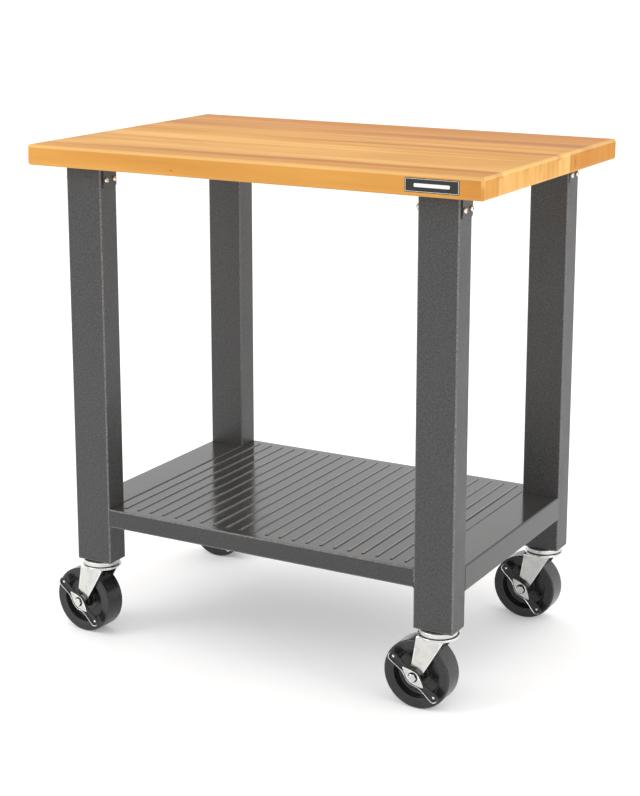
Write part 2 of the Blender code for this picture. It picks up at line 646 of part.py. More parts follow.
def main():
    clear_scene()
    make_nameplate(make_tabletop())
    for name, side_x, side_y, swivel_angle, tilt in CASTERS:
        leg = make_leg(name, side_x, side_y)
        bracket = make_bracket(name, side_x, side_y)
        make_bracket_bolts(name, side_x, side_y, leg, bracket)
        make_caster(name, side_x, side_y, swivel_angle, tilt)
    beams = {"left": make_beam("left", -1), "right": make_beam("right", 1)}
    make_shelf_screws(make_shelf(), beams)


main()
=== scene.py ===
"""Looks of the butcher block work table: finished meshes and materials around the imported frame.

Units are metres and +Z is up, as in the frame. Pieces are modelled where they belong, so every
piece's object coordinates are the frame's own coordinates.
"""
import json
import random
from math import acos, atan2, cos, hypot, pi, radians, sin, sqrt

import bmesh
import bpy
from mathutils import Matrix, Vector


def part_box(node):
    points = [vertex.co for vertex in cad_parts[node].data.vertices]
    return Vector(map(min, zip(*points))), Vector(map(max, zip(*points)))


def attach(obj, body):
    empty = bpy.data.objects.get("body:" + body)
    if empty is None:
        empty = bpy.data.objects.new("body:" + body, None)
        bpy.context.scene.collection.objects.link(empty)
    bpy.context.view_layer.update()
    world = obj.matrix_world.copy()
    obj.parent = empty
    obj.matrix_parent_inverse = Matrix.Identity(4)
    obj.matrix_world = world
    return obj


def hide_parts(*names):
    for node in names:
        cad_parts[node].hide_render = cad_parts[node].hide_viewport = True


CORNERS = ("front_left", "front_right", "back_left", "back_right")
STRAIGHT_CASTER = "front_right"  # the caster that stands square to the frame, used for sizes

# Wood top
ROUNDOVER = 0.005
# Glued staves from the front: where each one ends, its tone on the long faces and on the ends
STAVES = ((-0.246, 0.62, 0.62), (-0.153, 0.10, 0.15), (-0.092, 0.22, 0.25), (-0.040, 0.08, 0.10),
          (0.012, 0.26, 0.30), (0.069, 0.34, 0.00), (0.118, 0.45, 0.85), (0.184, 0.75, 1.00),
          (0.251, 0.85, 0.92), (0.400, 1.00, 1.00))
# Long dark streaks in the top: middle and half width across, where each starts and is full, depth
STREAKS = ((0.152, 0.030, -0.18, 0.14, 1.00), (0.150, 0.030, -0.18, -0.34, 0.70),
           (0.016, 0.016, -0.20, 0.06, 0.90), (-0.246, 0.017, -0.47, -0.20, 0.85),
           (-0.120, 0.008, 0.02, 0.30, 0.30))
GLUE_HALF = 0.0008  # half a glue line, as a share of the top's depth
KNOT = (0.457, 0.094, 0.933)
KNOT_SIZE = 0.0150
SPECKS = ((-0.140, -0.305, 0.925), (0.052, 0.018, 0.9525), (0.300, 0.010, 0.9525))
SPECK_SIZE = 0.0022
PLATE_CORNER = 0.002
PLATE_RELIEF = 0.0003
PLATE_EDGE = 0.00025
PLATE_MARGIN = 0.0011
PLATE_LINE = 0.0006
BAR_SHARES = (0.33, 0.13)  # half length and half height of the bar, as shares of the plate's

# Frame
TUBE_CORNER = 0.0024
BEAM_CORNER = 0.0032
FOOT_ROUND = 0.0024
BRACKET_SHEET = 0.002
BRACKET_BEND = 0.0032
BRACKET_CORNER = 0.006
BRACKET_EDGE = 0.0004
BOLT_RADIUS = 0.003
BOLT_HEAD_RADIUS = 0.00525
BOLT_HEAD_SIDE = 0.0006
SOCKET_ACROSS = 0.0036
SOCKET_DEPTH = 0.0022
FLANGE_NUT_ACROSS = 0.010
FLANGE_NUT_HEIGHT = 0.005

# Shelf pan
PAN_SHEET = 0.0015
PAN_BEND = 0.0025
PAN_HEM = 0.009
RIB_COUNT = 22
RIB_PITCH = 0.02827
RIB_WIDTH = 0.0068
RIB_HEIGHT = 0.0017
RIB_MARGIN = 0.0175
RIB_END = 0.004
PAN_SIDE_ROUND = 0.0020
RIB_CREST_HIGHLIGHT = 0.8  # strength of the painted highlight along the crest of a rib
SCREW_RADIUS = 0.0025
SCREW_HEAD_HEIGHT = 0.003
SCREW_HEAD_ROUND = 0.0016
CROSS_REACH = 0.0026
CROSS_HALF = 0.0005
CROSS_DEPTH = 0.0015

# Caster, seen from its own kingpin axis
TRAIL = 0.032
WHEEL_RIM_HALF = 0.022
WHEEL_BAND = 0.017
WHEEL_FLOOR = 0.0135  # how far the web lies inside the outer band
TREAD_ROUND = 0.0030
BAND_LIP = 0.0014
BAND_FILLET = 0.0030
HUB_FILLET = 0.0019
STEP_IN = 0.0225  # the low ring on the web, from its inner to its outer radius
STEP_OUT = 0.0258
STEP_RISE = 0.0011
HUB_RADIUS = 0.015
HUB_HALF = 0.023
HUB_ROUND = 0.001
BUSH_RADIUS = 0.008
BUSH_EDGE = 0.0004
FORK_SHEET = 0.003
FORK_INNER = 0.0245
FORK_OUTER = FORK_INNER + FORK_SHEET
FORK_BEND = 0.006
FORK_EYE = 0.010
FORK_EDGE = 0.0006
FORK_FRONT = 0.024
FORK_BACK = 0.030
FORK_CREASE = 0.42  # where its shallow crease runs, as a share of the width
FORK_FALL = 0.0016  # how far the sheet falls away beside the crease
CROWN_RADIUS = 0.0375
CROWN_BEAD = 0.0013
CROWN_RIM_RISE = 0.002
CROWN_ROUND = 0.0014
RACE_RADIUS = 0.034
RACE_THICKNESS = 0.006
RACE_EDGE = 0.0018
RACE_LIFT = 0.0052
LIP_WIDTH = 0.0030
LIP_DROP = 0.0022
LIP_EDGE = 0.0006
KINGPIN_RADIUS = 0.008
RIVET_RADIUS = 0.0115
RIVET_ROUND = 0.0020
RIVET_HEIGHT = 0.0043
RIVET_SIDE = 0.0030
STEM_RADIUS = 0.006
POINT = 0.0008  # taper at the end of a stem or a bolt
BALL_CIRCLE = 0.022
BALL_RADIUS = 0.0022
BALL_COUNT = 26
CAGE_HALF_WIDTH = 0.0007
CAGE_HALF_HEIGHT = 0.0006
AXLE_RADIUS = 0.00475
AXLE_POINT = 0.0009
NUT_ACROSS = 0.014
NUT_HEIGHT = 0.0065
NUT_HEX_SHARE = 0.78  # height of a lock nut's hexagon; the rest is its collar
COLLAR_RADIUS = 0.0066
COLLAR_EDGE = 0.0008
THREAD_PITCH = 0.001
THREAD_DEPTH = 0.0004
GAP = 0.0003
PAST = 0.001  # how far a cutting shape reaches past what it cuts

# Brake lever
LEVER_LIMIT_TILT = 55.0  # tilt of a lever at the upper end of its travel, in degrees
LEVER_REACH = 0.059
LEVER_TIP = 0.0082
LEVER_NECK = 0.0066
LEVER_NECK_AT = 0.024
LEVER_WAIST = 0.0138
LEVER_SHEET = 0.0015
LEVER_RIM = 0.0040
LEVER_LOW_RIM = 0.40  # height of the rim along the upper side, as a share of the lower
LEVER_PAINTED_REFLECTION_ABOVE = 0.001  # above this height over the axle the rim gets the dark paddle finish as a painted dark reflection; below it the rim stays bright
LEVER_FLOOR = 0.0320
LEVER_BOSS_RADIUS = 0.010
LEVER_BOSS_EDGE = 0.0006
LEVER_RIVETS = ((0.0500, 0.0027, 0.0013), (0.0182, 0.0017, 0.0042))  # reach, radius, height
SINK = 0.0001  # how far a raised part is sunk into the sheet below it
DIAMOND_HALF_LENGTH = 0.026
DIAMOND_HALF_WIDTH = 0.0118
DIAMOND_POWER = 1.25
DIAMOND_RISE = 0.0030
DIAMOND_HOLE = 0.0094

TO_FRONT = Matrix.Rotation(pi / 2, 4, "X")  # from along Z to facing the front

# Edge wear and painted edge highlights show on faces narrower than this that turn by more than this
WEAR_AND_HIGHLIGHT_WIDTH = 0.0022
WEAR_AND_HIGHLIGHT_TURN = radians(8)

# Camera
CAMERA_PLACE = (1.5958, -2.8785, 1.3494)
CAMERA_YAW = 29.178
CAMERA_PITCH = 12.553
CAMERA_LENS = 80.364
CAMERA_SHIFT = -0.1005

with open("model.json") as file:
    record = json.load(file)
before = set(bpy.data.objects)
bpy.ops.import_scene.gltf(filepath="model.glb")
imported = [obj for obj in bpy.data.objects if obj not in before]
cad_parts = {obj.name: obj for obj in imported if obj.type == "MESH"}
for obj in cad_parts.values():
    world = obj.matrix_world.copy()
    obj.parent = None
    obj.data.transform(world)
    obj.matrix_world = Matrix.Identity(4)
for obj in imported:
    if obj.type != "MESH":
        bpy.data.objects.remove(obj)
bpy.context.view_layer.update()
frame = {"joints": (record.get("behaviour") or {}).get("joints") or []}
joints = {joint["name"]: joint for joint in frame["joints"]}


# ---- node helpers

class Nodes:
    """A shader node tree under construction."""

    def __init__(self, tree):
        self.tree = tree

    def node(self, kind, inputs=None, **settings):
        """Add a node, apply its settings, then feed its inputs by name or number."""
        made = self.tree.nodes.new(kind)
        for key, value in settings.items():
            setattr(made, key, value)
        for key, value in (inputs or {}).items():
            self.feed(made.inputs[key], value)
        return made

    def feed(self, socket, value):
        """Link an output to a socket, or set a plain value on it."""
        if isinstance(value, bpy.types.NodeSocket):
            self.tree.links.new(value, socket)
        else:
            socket.default_value = value

    def math(self, operation, *values):
        return self.node("ShaderNodeMath", dict(enumerate(values)), operation=operation).outputs[0]

    def times(self, first, second):
        return self.math("MULTIPLY", first, second)

    def split(self, vector):
        """The x, y and z of a vector."""
        return self.node("ShaderNodeSeparateXYZ", {0: vector}).outputs

    def ramp(self, factor, stops, interpolation="LINEAR"):
        """A colour ramp from (position, value or colour) stops."""
        made = self.node("ShaderNodeValToRGB", {"Fac": factor})
        made.color_ramp.interpolation = interpolation
        elements = made.color_ramp.elements
        for index, (position, value) in enumerate(stops):
            if index > 1:
                elements.new(position)
            color = value if isinstance(value, tuple) else (value, value, value)
            elements[index].position = position
            elements[index].color = (*color, 1.0)
        return made.outputs["Color"]

    def span(self, value, from_low, from_high, to_low=0.0, to_high=1.0):
        values = (value, from_low, from_high, to_low, to_high)
        return self.node("ShaderNodeMapRange", dict(enumerate(values))).outputs[0]

    def blend(self, factor, first, second, mode="MIX"):
        first, second = [(*color, 1.0) if isinstance(color, tuple) else color for color in (first, second)]
        return self.node("ShaderNodeMix", {"Factor": factor, "A": first, "B": second},
                         data_type="RGBA", blend_type=mode).outputs["Result"]


class Finish(Nodes):
    """A Principled material under construction; its texture space is the frame's own."""

    def __init__(self, name, roughness, metallic=0.0, **sockets):
        self.material = bpy.data.materials.new(name)
        self.material.use_nodes = True
        super().__init__(self.material.node_tree)
        self.shader = self.tree.nodes["Principled BSDF"]
        for socket, value in {"Roughness": roughness, "Metallic": metallic, **sockets}.items():
            self.shader.inputs[socket.replace("_", " ")].default_value = value
        self.place = self.node("ShaderNodeTexCoord").outputs["Object"]

    def stretched(self, scale, offset=(0, 0, 0), space=None):
        """A texture space, the frame's own by default, scaled by a factor along each axis."""
        inputs = {"Vector": space or self.place, "Scale": scale, "Location": offset}
        return self.node("ShaderNodeMapping", inputs).outputs[0]

    def noise(self, vector, detail=3.0, roughness=0.5, distortion=0.0, scale=1.0):
        inputs = {"Vector": vector, "Scale": scale, "Detail": detail, "Roughness": roughness,
                  "Distortion": distortion}
        return self.node("ShaderNodeTexNoise", inputs).outputs["Fac"]

    def cells(self, scale, smoothness=0.6):
        inputs = {"Vector": self.place, "Scale": scale, "Smoothness": smoothness}
        return self.node("ShaderNodeTexVoronoi", inputs, feature="SMOOTH_F1").outputs["Distance"]

    def wear_and_highlight(self):
        """How strongly each face carries edge wear and painted highlight, from 0 to 1, as the mesh's own
        attribute says.
        """
        return self.node("ShaderNodeAttribute", attribute_name="wear_and_highlight").outputs["Fac"]

    def bump(self, height, distance, strength=1.0, after=None):
        inputs = {"Strength": strength, "Distance": distance, "Height": height}
        if after is not None:
            inputs["Normal"] = after
        return self.node("ShaderNodeBump", inputs).outputs["Normal"]

    def finish(self, color, roughness=None, normal=None):
        for socket, value in (("Base Color", color), ("Roughness", roughness), ("Normal", normal)):
            if value is not None:
                self.feed(self.shader.inputs[socket], value)
        return self.material


# ---- finishes

def wood_finish():
    """Lacquered maple staves along X, with growth rings that carry through to the end grain."""
    wood = Finish("lacquered_maple", 0.46, Specular_IOR_Level=0.03)
    low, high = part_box("tabletop")
    x, y, z = wood.split(wood.place)
    end = wood.span(wood.math("ABSOLUTE", x), high.x - 0.0012, high.x - 0.0004)
    flat = wood.math("SUBTRACT", 1.0, wood.times(end, 0.8))
    tone, seed, glue_line = stave_fields(wood, y, end)
    shifted_x = wood.math("MULTIPLY_ADD", seed, 3.0, x)
    shifted = wood.node("ShaderNodeCombineXYZ", {0: shifted_x, 1: y, 2: z}).outputs[0]
    figure = wood.noise(wood.stretched((1.3, 26.0, 26.0), space=shifted), 4.0, 0.55, 0.6)
    warp = wood.noise(wood.stretched((1.8, 9.0, 9.0), space=shifted), 2.0)
    rings = growth_rings(wood, y, z, seed, warp)
    fibre = wood.noise(wood.stretched((14.0, 700.0, 700.0)), 2.0)
    streak = wood.noise(wood.stretched((0.9, 62.0, 62.0), (4.0, 2.0, 0.0)), 3.0, 0.6)
    cloud = wood.noise(wood.stretched((3.2, 7.0, 7.0), (1.0, 0.0, 0.0)), 2.0)
    bands = wood.noise(wood.stretched((1.0, 90.0, 9.0), (0.0, 3.0, 0.0)), 3.0, distortion=0.4)

    honey = wood.ramp(tone, [(0.0, (0.86, 0.52, 0.175)), (0.5, (0.72, 0.375, 0.098)),
                             (1.0, (0.60, 0.25, 0.043))])
    # Each pattern: where it starts and is full, how strongly it stains, its colour, and where it shows
    for pattern, start, full, depth, color, shows in (
            (cloud, 0.36, 0.64, 0.34, (0.53, 0.235, 0.050), None),
            (figure, 0.40, 0.66, 0.36, (0.48, 0.20, 0.040), flat),
            (rings, 0.45, 1.0, 0.09, (0.45, 0.19, 0.04), None),
            (streak, 0.58, 0.72, 0.24, (0.36, 0.14, 0.028), flat),
            (bands, 0.42, 0.70, 0.36, (0.46, 0.18, 0.035), end),
            (fibre, 0.35, 0.75, 0.12, (0.42, 0.19, 0.05), None)):
        mask = wood.span(pattern, start, full, 0.0, depth)
        honey = wood.blend(mask if shows is None else wood.times(mask, shows), honey, color)
    honey = with_streaks_and_shade(wood, honey, x, y, z, streak)
    honey = wood.blend(wood.times(glue_line, 0.30), honey, (0.30, 0.12, 0.03))
    honey = wood.blend(knot_mask(wood, KNOT, KNOT_SIZE), honey, (0.30, 0.085, 0.012))
    for center in SPECKS:
        honey = wood.blend(knot_mask(wood, center, SPECK_SIZE), honey, (0.20, 0.065, 0.018))
    # The top face is painted darker and oranger than the sides: painted shade that offsets how brightly the
    # top is lit.
    top = wood.span(z, high.z - 0.0022, high.z - 0.0002)
    honey = wood.blend(wood.times(top, 0.85), honey, (0.90, 0.80, 0.46), "MULTIPLY")
    # The rounded upper edges are painted paler: a painted highlight along them, strongest near the top.
    upper = wood.span(z, high.z - 0.020, high.z - 0.010, 0.05, 0.30)
    honey = wood.blend(wood.times(wood.wear_and_highlight(), upper), honey, (1.0, 0.76, 0.36))
    rough = wood.span(figure, 0.3, 0.7, 0.34, 0.46)
    return wood.finish(honey, rough, wood.bump(fibre, 0.00012, 0.5, wood.bump(rings, 0.00010, 0.4)))


def stave_fields(wood, y, end):
    """Each stave's tone, on a long face or an end, its own random number, and the glue lines."""
    low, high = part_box("tabletop")
    draw = random.Random(11)
    across = wood.span(y, low.y, high.y)
    edges = [(edge - low.y) / (high.y - low.y) for edge, _, _ in STAVES[:-1]]
    tones = [(long_tone, end_tone, draw.random()) for _, long_tone, end_tone in STAVES]
    stave = wood.ramp(across, list(zip([0.0] + edges, tones)), "CONSTANT")
    long_tone, end_tone, seed = wood.node("ShaderNodeSeparateColor", {0: stave}).outputs
    tone = wood.math("MULTIPLY_ADD", end, wood.math("SUBTRACT", end_tone, long_tone), long_tone)
    glue = [(0.0, 0.0)]
    for edge in edges:
        glue += [(edge - GLUE_HALF, 0.0), (edge, 1.0), (edge + GLUE_HALF, 0.0)]
    return tone, seed, wood.ramp(across, glue + [(1.0, 0.0)])


def growth_rings(wood, y, z, seed, warp):
    """Rings round each stave's own pith, which lies somewhere beside, above or below it."""
    pith_y = wood.span(seed, 0.0, 1.0, -0.36, 0.36)
    pith_z = wood.math("MULTIPLY_ADD", wood.math("FRACT", wood.times(seed, 7.3)), 0.19,
                       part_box("tabletop")[0].z - 0.10)
    across, above = wood.math("SUBTRACT", y, pith_y), wood.math("SUBTRACT", z, pith_z)
    radius = wood.math("SQRT", wood.math("ADD", wood.times(across, across), wood.times(above, above)))
    ring = wood.math("SINE", wood.times(wood.math("MULTIPLY_ADD", warp, 0.022, radius), 1100.0))
    return wood.span(ring, -1.0, 1.0)


def with_streaks_and_shade(wood, honey, x, y, z, grain):
    """The colour with the long dark streaks near the top, and painted shade darkening the front edge at the
    right.
    """
    low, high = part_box("tabletop")
    near_top = wood.span(z, high.z - 0.010, high.z - 0.003)
    for streak in STREAKS:
        mask = wood.times(dark_streak(wood, x, y, grain, *streak), near_top)
        honey = wood.blend(mask, honey, (0.42, 0.155, 0.016))
    # Painted shade: the front face darkens towards its right end.
    corner = wood.times(wood.span(x, 0.36, 0.44, 0.0, 0.45), wood.span(y, low.y + 0.0058, low.y + 0.0028))
    return wood.blend(corner, honey, (0.46, 0.165, 0.030))


def dark_streak(wood, x, y, grain, middle, half_width, start, full, depth):
    """A long dark streak along X, wavering a little and broken up by the grain."""
    sway = 0.036
    waver = wood.noise(wood.stretched((3.0, 4.0, 4.0), (middle * 90.0, 0.0, 0.0)), 2.0)
    swayed = wood.math("MULTIPLY_ADD", waver, sway, y)
    away = wood.math("ABSOLUTE", wood.math("SUBTRACT", swayed, middle + sway / 2))
    across = wood.ramp(wood.math("DIVIDE", away, half_width), [(0.0, 1.0), (0.45, 0.8), (1.0, 0.0)], "EASE")
    along = wood.times(wood.span(x, start, full, 0.0, depth), wood.span(grain, 0.34, 0.58, 0.55, 1.0))
    return wood.times(across, along)


def knot_mask(wood, center, size):
    """A small dark eye in the wood, drawn out along the grain, with a ring round it."""
    offset = wood.node("ShaderNodeVectorMath", {0: wood.place, 1: center}, operation="SUBTRACT").outputs[0]
    scaled = wood.node("ShaderNodeVectorMath", {0: offset, 1: (0.35, 1.5, 0.8)}, operation="MULTIPLY")
    away = wood.node("ShaderNodeVectorMath", {0: scaled.outputs[0]}, operation="LENGTH").outputs["Value"]
    wobble = wood.noise(wood.stretched((160.0, 160.0, 160.0)), 2.0)
    distance = wood.math("MULTIPLY_ADD", wobble, 0.5, wood.math("DIVIDE", away, size))
    return wood.ramp(distance, [(0.0, 0.9), (0.42, 0.75), (0.55, 0.10), (0.72, 0.45), (0.95, 0.0)])


def paint_finish(name, roughness, mottle, dark, light):
    """Hammer-texture powder coat: fine cells, cloudy sheen, and paler edges, partly worn paint and partly
    painted highlight.
    """
    paint = Finish(name, roughness)
    cells = paint.cells(470.0)
    grain = paint.noise(paint.place, roughness=0.6, scale=300.0)
    cloud = paint.noise(paint.place, scale=14.0)
    flecks = paint.ramp(grain, [(0.36, 0.0), (0.50, 0.45), (0.64, 1.0)])
    low, high = [(tone, tone * 0.985, tone * 0.98) for tone in (dark, light)]
    # Paler narrow edges: partly worn paint, partly a painted highlight.
    edge = paint.times(paint.wear_and_highlight(), paint.span(grain, 0.38, 0.60, 0.25, 0.60))
    color = paint.blend(edge, paint.blend(flecks, low, high), (0.24, 0.236, 0.236))
    rough = paint.math("ADD", paint.span(cloud, 0.3, 0.7, roughness - 0.04, roughness + 0.05),
                       paint.span(grain, 0.3, 0.7, -0.04, 0.04))
    normal = paint.bump(cells, 0.0006, mottle, paint.bump(grain, 0.0005, mottle * 0.6))
    return paint.finish(color, rough, normal)


def zinc_finish():
    """Bright zinc plate: faint blue and straw clouds, soft handling marks, dull scratches."""
    zinc = Finish("bright_zinc", 0.22, 1.0)
    cloud = zinc.noise(zinc.place, scale=45.0, distortion=0.8)
    marks = zinc.noise(zinc.stretched((420.0, 420.0, 60.0)))
    color = zinc.ramp(cloud, [(0.30, (0.52, 0.54, 0.55)), (0.52, (0.64, 0.64, 0.615)),
                              (0.74, (0.62, 0.61, 0.56))])
    # Narrow edges are blended towards near white: a painted highlight along them.
    color = zinc.blend(zinc.times(zinc.wear_and_highlight(), 0.45), color, (0.95, 0.95, 0.94))
    rough = zinc.math("ADD", zinc.span(cloud, 0.3, 0.7, 0.17, 0.27), zinc.span(marks, 0.4, 0.7, 0.0, 0.07))
    return zinc.finish(color, rough, zinc.bump(marks, 0.0001, 0.25))


def blackened_finish():
    """Dark satin of the lever paddles, slightly rubbed."""
    dark = Finish("blackened_paddle", 0.38, 0.2)
    rub = dark.noise(dark.place, 4.0, 0.65, scale=380.0)
    color = dark.ramp(rub, [(0.38, 0.012), (0.58, 0.03), (0.75, 0.10)])
    return dark.finish(color, dark.span(rub, 0.3, 0.7, 0.30, 0.48), dark.bump(rub, 0.0002, 0.4))


def wheel_finish():
    """Moulded black phenolic: glossy skin with dusty scuffs, and slightly paler edges as a painted highlight.
    """
    black = Finish("black_phenolic", 0.2)
    dust = black.noise(black.place, 4.0, 0.6, scale=120.0)
    cloud = black.noise(black.place, 2.0, scale=24.0)
    color = black.ramp(dust, [(0.35, 0.010), (0.62, 0.016), (0.80, 0.034)])
    # Narrow edges are painted paler: a painted highlight along them.
    color = black.blend(black.times(black.wear_and_highlight(), 0.25), color, (0.06, 0.06, 0.06))
    rough = black.math("ADD", black.span(cloud, 0.3, 0.7, 0.16, 0.25), black.span(dust, 0.4, 0.75, 0.0, 0.12))
    return black.finish(color, rough, black.bump(dust, 0.0002, 0.3))


def plain_finish(name, low, high, roughness, scale, metallic=0.0):
    """A fine-grained finish between two colours."""
    plain = Finish(name, roughness, metallic)
    grain = plain.noise(plain.place, scale=scale)
    rough = plain.span(grain, 0.3, 0.7, roughness - 0.06, roughness + 0.06)
    return plain.finish(plain.ramp(grain, [(0.32, low), (0.70, high)]), rough, plain.bump(grain, 0.0001, 0.3))


FINISHES = {
    "maple": wood_finish(),
    "paint": paint_finish("grey_hammer_paint", 0.38, 0.26, 0.026, 0.060),
    "beam_paint": paint_finish("grey_beam_paint", 0.15, 0.05, 0.024, 0.044),
    "shelf_paint": paint_finish("grey_shelf_paint", 0.13, 0.04, 0.022, 0.042),
    "zinc": zinc_finish(),
    "paddle": blackened_finish(),
    "wheel": wheel_finish(),
    "plate": plain_finish("black_plate", (0.006, 0.006, 0.007), (0.014, 0.014, 0.015), 0.28, 260.0),
    "print": plain_finish("pale_print", (0.70, 0.70, 0.70), (0.84, 0.84, 0.84), 0.4, 500.0),
    "bronze": plain_finish("sintered_bronze", (0.26, 0.19, 0.09), (0.42, 0.32, 0.17), 0.42, 700.0, 1.0),
}


# ---- mesh helpers

def arc(center, radius, start, end, steps):
    """Points along an arc, angles in degrees, both ends included."""
    turns = [radians(start + (end - start) * i / steps) for i in range(steps + 1)]
    return [(center[0] + radius * cos(t), center[1] + radius * sin(t)) for t in turns]


def circle(radius, steps, center=(0, 0)):
    return arc(center, radius, 0, 360, steps)[:-1]


def at_depth(points, depth):
    """Points of a front view, each (x, z), set at a depth in front of the XZ plane."""
    return [(x, -depth, z) for x, z in points]


def rounded_rectangle(x0, x1, y0, y1, radius, steps=6):
    """Outline of a rectangle with round corners, counter-clockwise."""
    corners = ((x1, y1, -1, -1), (x0, y1, 1, -1), (x0, y0, 1, 1), (x1, y0, -1, 1))
    points = []
    for quarter, (x, y, sx, sy) in enumerate(corners):
        points += arc((x + sx * radius, y + sy * radius), radius, 90 * quarter, 90 * quarter + 90, steps)
    return points


def front_outline(low, high, inset, radius):
    """Rounded outline of a box seen from the front, drawn in by an inset."""
    return rounded_rectangle(low.x + inset, high.x - inset, low.z + inset, high.z - inset, radius)


def lying(low, high, x, sign):
    """The move that lays a shape made along Z on the middle line of a box along X."""
    middle = Matrix.Translation((x, (low.y + high.y) / 2, (low.z + high.z) / 2))
    return middle @ Matrix.Rotation(sign * pi / 2, 4, "Y")


def prism(outline, low, high, axis="Z"):
    """Extrude an outline, in (x, y), (x, z) or (y, z) for axis Z, Y or X, from low to high."""
    def place(point, level):
        u, v = point
        return {"Z": (u, v, level), "Y": (u, level, v), "X": (level, u, v)}[axis]

    return loops([[place(point, level) for point in outline] for level in (low, high)])


def loops(rings, closed=False):
    """Skin rings of points, each of the same count, into one solid; the ends are capped."""
    bm = bmesh.new()
    levels = [[bm.verts.new(point) for point in ring] for ring in rings]
    pairs = list(zip(levels, levels[1:]))
    if closed:
        pairs.append((levels[-1], levels[0]))
    count = len(levels[0])
    for lower, upper in pairs:
        for i in range(count):
            bm.faces.new((lower[i], lower[(i + 1) % count], upper[(i + 1) % count], upper[i]))
    if not closed:
        bm.faces.new(levels[0][::-1])
        bm.faces.new(levels[-1])
    return bm


def turned(profile, segments=72):
    """Spin a profile of (radius, height) points about Z; a profile off the axis is a closed ring."""
    bm = bmesh.new()
    verts = [bm.verts.new((radius, 0, height)) for radius, height in profile]
    edges = [bm.edges.new(pair) for pair in zip(verts, verts[1:])]
    if profile[0][0] > 0:
        edges.append(bm.edges.new((verts[-1], verts[0])))
    bmesh.ops.spin(bm, geom=verts + edges, cent=(0, 0, 0), axis=(0, 0, 1),
                   angle=2 * pi, steps=segments, use_merge=True)
    bmesh.ops.remove_doubles(bm, verts=bm.verts, dist=1e-6)
    return bm


def mesh_of(bm, name):
    """The mesh data of a bmesh, which is freed."""
    mesh = bpy.data.meshes.new(name)
    bm.to_mesh(mesh)
    bm.free()
    return mesh


def moved(bm, matrix):
    bmesh.ops.transform(bm, matrix=matrix, verts=bm.verts)
    return bm


def joined(*parts):
    """Several bmeshes as one, each part staying its own closed solid."""
    whole = bmesh.new()
    for part in parts:
        spare = mesh_of(part, "spare")
        whole.from_mesh(spare)
        bpy.data.meshes.remove(spare)
    return whole


def placed(name, data):
    """A new object in the scene that shows the given data."""
    item = bpy.data.objects.new(name, data)
    bpy.context.scene.collection.objects.link(item)
    return item


def loose(bm):
    """A bmesh as an object for Boolean work."""
    bmesh.ops.recalc_face_normals(bm, faces=bm.faces)
    return placed("work", mesh_of(bm, "work"))


def combined(first, second, operation="DIFFERENCE"):
    """The exact Boolean of two bmeshes, as a bmesh."""
    target, tool = loose(first), loose(second)
    modifier = target.modifiers.new("boolean", "BOOLEAN")
    modifier.operation = operation
    modifier.solver = "EXACT"
    modifier.object = tool
    return taken(target, tool)


def beveled(bm, width, segments=3, angle=35.0):
    """The bmesh with every edge sharper than the angle rounded."""
    item = loose(bm)
    modifier = item.modifiers.new("bevel", "BEVEL")
    modifier.width = width
    modifier.segments = segments
    modifier.limit_method = "ANGLE"
    modifier.angle_limit = radians(angle)
    modifier.use_clamp_overlap = True
    return taken(item)


def taken(item, *spares):
    """The evaluated mesh of a work object as a bmesh; the work objects go."""
    graph = bpy.context.evaluated_depsgraph_get()
    result = bmesh.new()
    result.from_object(item, graph)
    for spent in (item, *spares):
        mesh = spent.data
        bpy.data.objects.remove(spent)
        bpy.data.meshes.remove(mesh)
    return result


def piece(name, bm, finish, nodes=(), body="root", smooth=38.0, extra=(), wear_and_highlight_rule=None):
    """Store a finished mesh as a piece that rides on a body and stands for CAD nodes."""
    bmesh.ops.recalc_face_normals(bm, faces=bm.faces)
    mesh = mesh_of(bm, name)
    mesh.shade_smooth()
    mesh.set_sharp_from_angle(angle=radians(smooth))
    for key in (finish, *extra):
        mesh.materials.append(FINISHES[key])
    mark_wear_and_highlight(mesh, wear_and_highlight_rule or narrow_turned)
    item = placed(name, mesh)
    even_shading(item)
    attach(item, body)
    if nodes:
        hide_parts(*nodes)


def even_shading(item):
    """Weigh the normals by face area, so broad flats stay flat beside their rounded edges."""
    item.modifiers.new("even", "WEIGHTED_NORMAL").keep_sharp = True
    graph = bpy.context.evaluated_depsgraph_get()
    spent = item.data
    item.data = bpy.data.meshes.new_from_object(item.evaluated_get(graph), preserve_all_data_layers=True,
                                                depsgraph=graph)
    item.data.name = item.name
    item.modifiers.clear()
    bpy.data.meshes.remove(spent)


def mark_wear_and_highlight(mesh, wear_and_highlight_rule):
    """Store how strongly each face carries edge wear and painted highlight, as the given rule says, for a
    finish to show.
    """
    bm = bmesh.new()
    bm.from_mesh(mesh)
    marks = [wear_and_highlight_rule(face) for face in bm.faces]
    bm.free()
    mesh.attributes.new("wear_and_highlight", "FLOAT", "FACE").data.foreach_set("value", marks)


def narrow_turned(face):
    """1 for a narrow face that turns a corner, and 0 for any other."""
    turned_edges = [edge for edge in face.edges if edge.calc_face_angle(0.0) > WEAR_AND_HIGHLIGHT_TURN]
    return float(any(face.calc_area() < WEAR_AND_HIGHLIGHT_WIDTH * edge.calc_length() for edge in turned_edges))


# No edge wear and no painted highlight on any face.
def unmarked(face):
    return 0.0


